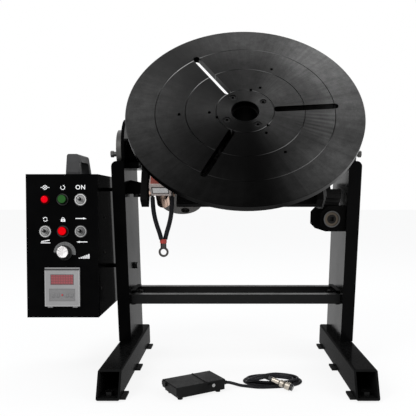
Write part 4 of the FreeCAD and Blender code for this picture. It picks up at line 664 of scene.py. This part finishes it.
# %% Connector finish
plug_place = (0.0815, -0.1347, 0.0164)
plug_turn = Vector((0.87, -0.422, -0.26)).normalized().to_track_quat("Z", "Y").to_euler()
shell_low, shell_high, joint_line = -0.0120, 0.0276, 0.0155
tree, shader = opened(finishes["plug_metal"])
depth = make(tree, "SeparateXYZ", {0: frame_place(tree, plug_place, plug_turn)}).outputs["Z"]
shell = math_node(tree, "MULTIPLY", ranged(tree, depth, shell_low, shell_low + 0.0004),
                  ranged(tree, depth, shell_high, shell_high + 0.0004, 1.0, 0.0))
off_joint = math_node(tree, "ABSOLUTE", math_node(tree, "SUBTRACT", depth, joint_line))
dark_line = ranged(tree, off_joint, 0.0012, 0.0018, 0.25, 1.0)
nickel = make(tree, "VectorMath", {0: colour_of(shader), 3: dark_line}, operation="SCALE").outputs[0]
tree.links.new(mixed(tree, shell, (0.007, 0.007, 0.008, 1), nickel), shader.inputs["Base Color"])
tree.links.new(shell, shader.inputs["Metallic"])
print("connector ready")

# %% Dress every CAD node
slot_of = {part["node"]: part["material_slot"] for part in frame["record"]["subparts"]}
own_finish = {"crossbars": "bar_black", "left_foot": "foot_black", "right_foot": "foot_black",
              "pedal_pin": "switch_chrome", "tilt_sector": "sector_black",
              "right_column": "column_black", "box_shell": "box_black",
              "worm_trough": "trough_black", "spindle": "gear_steel"}
for name, piece in nodes.items():
    piece.data.materials.clear()
    piece.data.materials.append(finishes[own_finish.get(name, slot_of[name])])
for lead in lead_pieces + [foot_cord]:
    lead.data.materials.append(finishes["cable_black"])
print("dressed nodes:", len(nodes))

# %% [markdown]
# ## Modelling helpers
# Every small piece below is modelled in its own flat frame and then set down. One helper picks faces
# in edit mode by a test on their normal, one applies a bevel, and the last puts the
# place into the mesh, names the piece, gives it its finish and joins it to a body of the model.

# %% Modelling helpers
def start(add, **settings):
    """Deselect everything, then add one primitive and return it with its scale applied."""
    bpy.ops.object.select_all(action="DESELECT")
    add(**settings)
    bpy.ops.object.transform_apply(location=False, rotation=False, scale=True)
    return bpy.context.object


def pick(test):
    """In edit mode, select only the faces whose normal passes the test."""
    bpy.ops.mesh.select_mode(type="FACE")
    bpy.ops.mesh.select_all(action="DESELECT")
    mesh = bmesh.from_edit_mesh(bpy.context.object.data)
    for face in mesh.faces:
        face.select_set(bool(test(face.normal)))
    mesh.select_flush_mode()
    bmesh.update_edit_mesh(bpy.context.object.data)


def soften(piece, width, segments=2, angle=30):
    """A bevel modifier on the sharp edges, applied, then smooth shading by angle."""
    bevel = piece.modifiers.new("soft edges", "BEVEL")
    bevel.width, bevel.segments, bevel.angle_limit = width, segments, math.radians(angle)
    bpy.context.view_layer.objects.active = piece
    bpy.ops.object.modifier_apply(modifier=bevel.name)
    bpy.ops.object.shade_smooth_by_angle(angle=math.radians(35))


def settle(piece, name, place, body, finish):
    """Put the piece's place into its mesh, clean it, and join it to a body and a finish."""
    piece.data.transform(place @ piece.matrix_basis)
    piece.matrix_basis = Matrix.Identity(4)
    bpy.ops.object.select_all(action="DESELECT")
    piece.select_set(True)
    bpy.context.view_layer.objects.active = piece
    bpy.ops.object.mode_set(mode="EDIT")
    bpy.ops.mesh.select_all(action="SELECT")
    bpy.ops.mesh.remove_doubles(threshold=0.000002)
    bpy.ops.mesh.normals_make_consistent(inside=False)
    bpy.ops.object.mode_set(mode="OBJECT")
    piece.name = name
    piece.data.materials.clear()
    piece.data.materials.append(finishes[finish])
    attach(piece, body)
    return piece


# %% [markdown]
# ## Printed marks
# The panel's legends are thin white ink. Each mark is a flat filled outline, drawn in millimetres,
# given the thickness of a screen print and made a mesh before it is set on the sloping panel. Plain
# signs say what each control does: a lamp, a reset loop, ON, an automatic cycle, a lock, a foot
# switch, the two directions and a rising speed.

# %% White ink and a flat mark
finishes["legend_white"] = painted("legend_white", grey(0.88), grey(0.78), 0.5, 0.2, 1600.0, 0.05, 0.0)


def flat_mark(name, outlines, u, v, w=0.0, body="stand", finish="legend_white", thick=0.16, frame_at=None):
    """Closed outlines in millimetres, filled, thickened and set on the panel at u, v, w."""
    data = bpy.data.curves.new(name, "CURVE")
    data.dimensions = "2D"
    data.fill_mode = "BOTH"
    data.extrude = thick / 2 * MM
    for outline in outlines:
        line = data.splines.new("POLY")
        line.points.add(len(outline) - 1)
        for knot, (x, y) in zip(line.points, outline):
            knot.co = (x * MM, y * MM, 0, 1)
        line.use_cyclic_u = True
    rise = w + thick / 2 + 0.02
    return set_flat(bpy.data.objects.new(name, data), name, u, v, rise, body, finish, frame_at)


def set_flat(drawn, name, u, v, w, body, finish, frame_at=None):
    if drawn.name not in bpy.context.scene.collection.all_objects:
        bpy.context.scene.collection.objects.link(drawn)
    bpy.ops.object.select_all(action="DESELECT")
    drawn.select_set(True)
    bpy.context.view_layer.objects.active = drawn
    bpy.ops.object.convert(target="MESH")
    place = (frame_at or panel) @ Matrix.Translation((u * MM, v * MM, w * MM))
    return settle(bpy.context.object, name, place, body, finish)


def arc(radius, first, last, count=24, x=0.0, y=0.0):
    """Points on an arc, from one angle to another, in degrees."""
    angles = [math.radians(first + (last - first) * i / count) for i in range(count + 1)]
    return [(x + radius * math.cos(a), y + radius * math.sin(a)) for a in angles]


def circle(radius, x=0.0, y=0.0):
    return arc(radius, 0, 360, 32, x, y)[:-1]


def bar(x0, y0, x1, y1):
    return [(x0, y0), (x1, y0), (x1, y1), (x0, y1)]


def loop(radius, width, first, last):
    """A bent arrow that runs from the first angle to the last, with its head at the end."""
    inner, outer = radius - width / 2, radius + width / 2
    end = math.radians(last)
    tip = math.radians(last + (24 if last > first else -24))
    head = [((radius + width * 1.5) * math.cos(end), (radius + width * 1.5) * math.sin(end)),
            (radius * math.cos(tip), radius * math.sin(tip)),
            ((radius - width * 1.5) * math.cos(end), (radius - width * 1.5) * math.sin(end))]
    return arc(outer, first, last) + head + arc(inner, last, first)


def arrow(length, way=1):
    """A straight arrow along the panel, with a slender head."""
    half, shaft = length / 2, 0.9
    shape = [(-half, -shaft), (half - 7, -shaft), (half - 7, -2.1), (half, 0), (half - 7, 2.1),
             (half - 7, shaft), (-half, shaft)]
    return [(way * x, y) for x, y in shape][::way]


print("arrow points:", len(arrow(23)))

# %% Lamp and reset signs
cross = []
for quarter in range(4):
    turned = math.radians(45 + 90 * quarter)
    for along, aside in ((3.6, -0.55), (3.6, 0.55), (0.78, 0)):
        bend = turned if aside or along == 3.6 else turned + math.radians(45)
        cross.append((along * math.cos(bend) - aside * math.sin(bend),
                      along * math.sin(bend) + aside * math.cos(bend)))
rays = [bar(side * 7.2 - 1.9, -0.6, side * 7.2 + 1.9, 0.6) for side in (-1, 1)]
flat_mark("lamp_sign", [circle(4.8), circle(3.7), cross] + rays, -35, 271)
flat_mark("reset_sign", [loop(4.3, 1.3, -215, 60)], 2, 271)
print("lamp and reset signs set")

# %% ON, automatic cycle and lock signs
words = bpy.data.curves.new("on_sign", "FONT")
words.body = "ON"
words.size = 12.6 * MM
words.align_x = "CENTER"
words.align_y = "CENTER"
words.extrude = 0.08 * MM
words.offset = 0.16 * MM
words.space_character = 1.12
set_flat(bpy.data.objects.new("on_sign", words), "on_sign", 39, 271, 0.1, "stand", "legend_white")
flat_mark("automatic_sign", [loop(4.1, 1.3, 20, 150), loop(4.1, 1.3, 200, 330)], -35, 205)
shackle = arc(3.3, 0, 180) + [(-3.3, -0.4), (-2.1, -0.4)] + arc(2.1, 180, 0) + [(2.1, -0.4), (3.3, -0.4)]
shackle = [(x, y + 0.6) for x, y in shackle]
flat_mark("lock_sign", [shackle, bar(-4.6, -5, 4.6, 0.1), circle(1.1, 0, -2.4)], 2, 205)
print("ON, automatic and lock signs set")

# %% Foot switch, direction and speed signs
flat_mark("foot_sign", [[(-10, -3.2), (10, -3.2), (10, -1.6), (-10, -1.6)],
                        [(-9, -0.6), (8.5, 2.2), (8.5, 4.4), (-9, 1.0)]], -35, 158.5)
flat_mark("forward_arrow", [arrow(23)], 39.5, 206.7)
flat_mark("reverse_arrow", [arrow(23, -1)], 41, 158)
rising = [bar(x, -4.6, x + 2.6, -2.9 + 1.5 * i) for i, x in enumerate(range(-11, 11, 4))]
flat_mark("speed_sign", rising, 45, 128)
print("foot, direction and speed signs set")

# %% [markdown]
# ## Toggle dress rings
# Each toggle sits in a knurled dress ring on a dark ring of painted shade, which stands for the gaps
# round the knurl. The knurl is a toothed ring, drawn once as a flat outline that each of the three
# switches uses.

# %% Knurled rings
teeth = []
for step in range(72):
    reach = 12.1 if step % 2 else 11.2
    turned = math.radians(5 * step)
    teeth += [(reach * math.cos(turned), reach * math.sin(turned)),
              (reach * math.cos(turned + 0.05), reach * math.sin(turned + 0.05))]
finishes["knurl"] = bare_metal("knurl", grey(0.62), grey(0.10), 0.22, 0.9)
for name in ("power", "mode", "direction"):
    u, v = controls[name]
    # Painted shade: a dark ring under the knurl, showing inside and outside it, for the gaps round it.
    flat_mark(f"{name}_shade_ring", [circle(12.95), circle(9.0)], u, v, 1.0, finish="bezel_black", thick=0.3)
    flat_mark(f"{name}_knurl", [teeth, circle(9.7)], u, v, 1.3, finish="knurl", thick=0.9)
print("knurl points:", len(teeth))

# %% [markdown]
# ## Speed scale and knob
# The speed knob is a black skirt with a spun aluminium cap, and its crescent scale carries fine
# ticks. The cap is a disc with a stepped rim. Its pointer is a thin white line from the cap to the
# skirt's edge. Both turn with the knob.

# %% Speed scale ticks
half_tick = 0.25
ticks = []
for step in range(13):
    turned = math.radians(180 - 15 * step)
    across, up = math.cos(turned), math.sin(turned)
    near, far = (19.2 if step % 3 else 17.8), 22.2
    corners = [(near, -half_tick), (far, -half_tick), (far, half_tick), (near, half_tick)]
    ticks.append([(reach * across + aside * up, reach * up - aside * across) for reach, aside in corners])
flat_mark("scale_ticks", ticks, knob_u, knob_v, 0.8, finish="handle_grey")
print("ticks:", len(ticks))

# %% Knob cap and pointer
cap = start(bpy.ops.mesh.primitive_cylinder_add, vertices=96, radius=11.6 * MM, depth=1.2 * MM)
bpy.ops.object.mode_set(mode="EDIT")
pick(lambda normal: normal.z > 0.9)
bpy.ops.mesh.inset(thickness=1.3 * MM)
bpy.ops.mesh.inset(thickness=0.25 * MM, depth=-0.35 * MM)
bpy.ops.object.mode_set(mode="OBJECT")
soften(cap, 0.2 * MM)
cap_place = panel @ Matrix.Translation((knob_u * MM, knob_v * MM, 16.85 * MM))
settle(cap, "knob_cap", cap_place, "knob", "cap_alloy")
flat_mark("knob_pointer", [bar(5.2, -0.55, 11.2, 0.55)], knob_u, knob_v, 17.1, "knob")
print("knob cap faces:", len(cap.data.polygons))

# %% [markdown]
# ## Speed meter details
# The counter has a dark gasket line round its bezel, a raised frame round its red window, small marks
# on its keys, and a lighter frame on the bezel's rim that is a painted highlight. Frames are made from
# a plane: inset, then the middle is deleted and the rest extruded.

# %% A rectangular frame
def thin_frame(name, wide, high, width, thick, u, v, w, finish, body="stand", frame_at=None):
    """A flat rectangular frame with a softened edge, set on the panel."""
    piece = start(bpy.ops.mesh.primitive_plane_add, size=MM)
    piece.data.transform(Matrix.Diagonal((wide, high, 1, 1)))
    bpy.ops.object.mode_set(mode="EDIT")
    bpy.ops.mesh.select_all(action="SELECT")
    bpy.ops.mesh.inset(thickness=width * MM)
    bpy.ops.mesh.delete(type="FACE")
    bpy.ops.mesh.select_all(action="SELECT")
    bpy.ops.mesh.extrude_region_move(TRANSFORM_OT_translate={"value": (0, 0, thick * MM)})
    bpy.ops.object.mode_set(mode="OBJECT")
    place = (frame_at or panel) @ Matrix.Translation((u * MM, v * MM, w * MM))
    made = settle(piece, name, place, body, finish)
    soften(made, 0.12 * MM, 1)
    return made


finishes["key_red"] = painted("key_red", (0.60, 0.02, 0.03), (0.45, 0.02, 0.02), 0.4, 0.1, 1500.0, 0.05, 0.0)
finishes["bezel_rim_highlight"] = painted("bezel_rim_highlight", (0.42, 0.415, 0.41), grey(0.30), 0.35, 0.3, 1500.0, 0.05, 0.0)
thin_frame("meter_gasket", 75.2, 80.6, 1.25, 1.6, meter_u, meter_v, 0.02, "rubber_black")
thin_frame("window_frame", 48.4, 21.8, 0.9, 0.5, meter_u, meter_v + 16.7, 5.55, "handle_grey")
thin_frame("key_frame", 55.6, 27.6, 0.8, 0.4, meter_u, meter_v - 15.3, 5.15, "scale_grey")
# Painted highlight: a thin lighter frame along the bezel's rim.
thin_frame("bezel_rim_highlight", 72.4, 77.8, 1.5, 0.3, meter_u, meter_v, 5.95, "bezel_rim_highlight")
flat_mark("clip_strip", [bar(-36, -1.3, 36, 1.3)], meter_u, meter_v + 37.5, 6.25, finish="handle_grey",
          thick=0.4)
flat_mark("key_light", [circle(1.5)], meter_u, meter_v - 15.3, 5.85, finish="key_red", thick=0.4)
key_rows = (-19, -9.5, 9.5, 19)
key_marks = [circle(0.9, x, 0) for x in key_rows] + [bar(x - 2.4, -4.4, x + 2.4, -3.6) for x in key_rows]
flat_mark("key_marks", key_marks, meter_u, meter_v - 15.3, 5.85, finish="scale_grey")
print("meter details set")

# %% [markdown]
# ## Brush holder plate
# A bare plate in a thin dark frame is fixed to the front of the brush holder. It leans with
# the cradle, so its frame is the cradle's, turned to face forwards.

# %% Brush holder plate
block_face = cradle @ Matrix.Translation((-0.160, -0.148, 0.0512)) @ Matrix.Rotation(math.radians(90), 4, "X")
finishes["plate_white"] = painted("plate_white", (0.55, 0.54, 0.53), (0.40, 0.39, 0.38), 0.35, 0.3, 1500.0,
                                  0.05, 0.1)
flat_mark("brush_plate", [bar(-16.4, -8.0, 16.4, 8.0)], 0, 0, 0.0, "cradle", "plate_white", 0.5, block_face)
thin_frame("brush_plate_frame", 36.0, 19.6, 1.9, 0.8, 0, 0, 0.02, "bezel_black", "cradle", block_face)
print("brush plate set")

# %% [markdown]
# ## Connector and cable fittings
# The foot switch cable ends in a round nickel connector. A ribbed black boot takes the bend where
# the cable enters it, and a short tapered relief does the same where it leaves the foot switch.
# Each is a cone along the cable's own line, cut into rings, with every second ring pulled in.

# %% A ribbed cable boot
def boot(name, base, tip, wide, narrow, ribs, body, finish):
    """A tapered boot from base to tip: cylinder rings, every second one pulled in."""
    length = (tip - base).length
    piece = start(bpy.ops.mesh.primitive_cone_add, vertices=40, radius1=wide, radius2=narrow, depth=length)
    bpy.ops.object.mode_set(mode="EDIT")
    for cut in range(1, ribs * 2):
        bpy.ops.mesh.select_all(action="SELECT")
        bpy.ops.mesh.bisect(plane_co=(0, 0, -length / 2 + length * cut / (ribs * 2)), plane_no=(0, 0, 1))
    bpy.ops.object.mode_set(mode="OBJECT")
    for corner in piece.data.vertices:
        ring = round((corner.co.z / length + 0.5) * ribs * 2)
        if ring % 2 and 0 < ring < ribs * 2:
            corner.co.x *= 0.84
            corner.co.y *= 0.84
    way = (tip - base).normalized()
    place = Matrix.Translation((base + tip) / 2) @ way.to_track_quat("Z", "Y").to_matrix().to_4x4()
    made = settle(piece, name, place, body, finish)
    soften(made, 0.15 * MM, 1, 20)
    return made


leaves = Vector(cord_route[0])
heads = (Vector(cord_route[1]) - leaves).normalized()
boot("treadle_relief", leaves - heads * 0.0004, leaves + heads * 0.0105, 0.0054, 0.0040, 4, "stand",
     "rubber_black")
enters = Vector(cord_end[-1])
comes = (Vector(cord_end[-2]) - enters).normalized()
boot("connector_boot", enters, enters + comes * 0.009, 0.0056, 0.0041, 3, "stand", "rubber_black")
print("boots set")
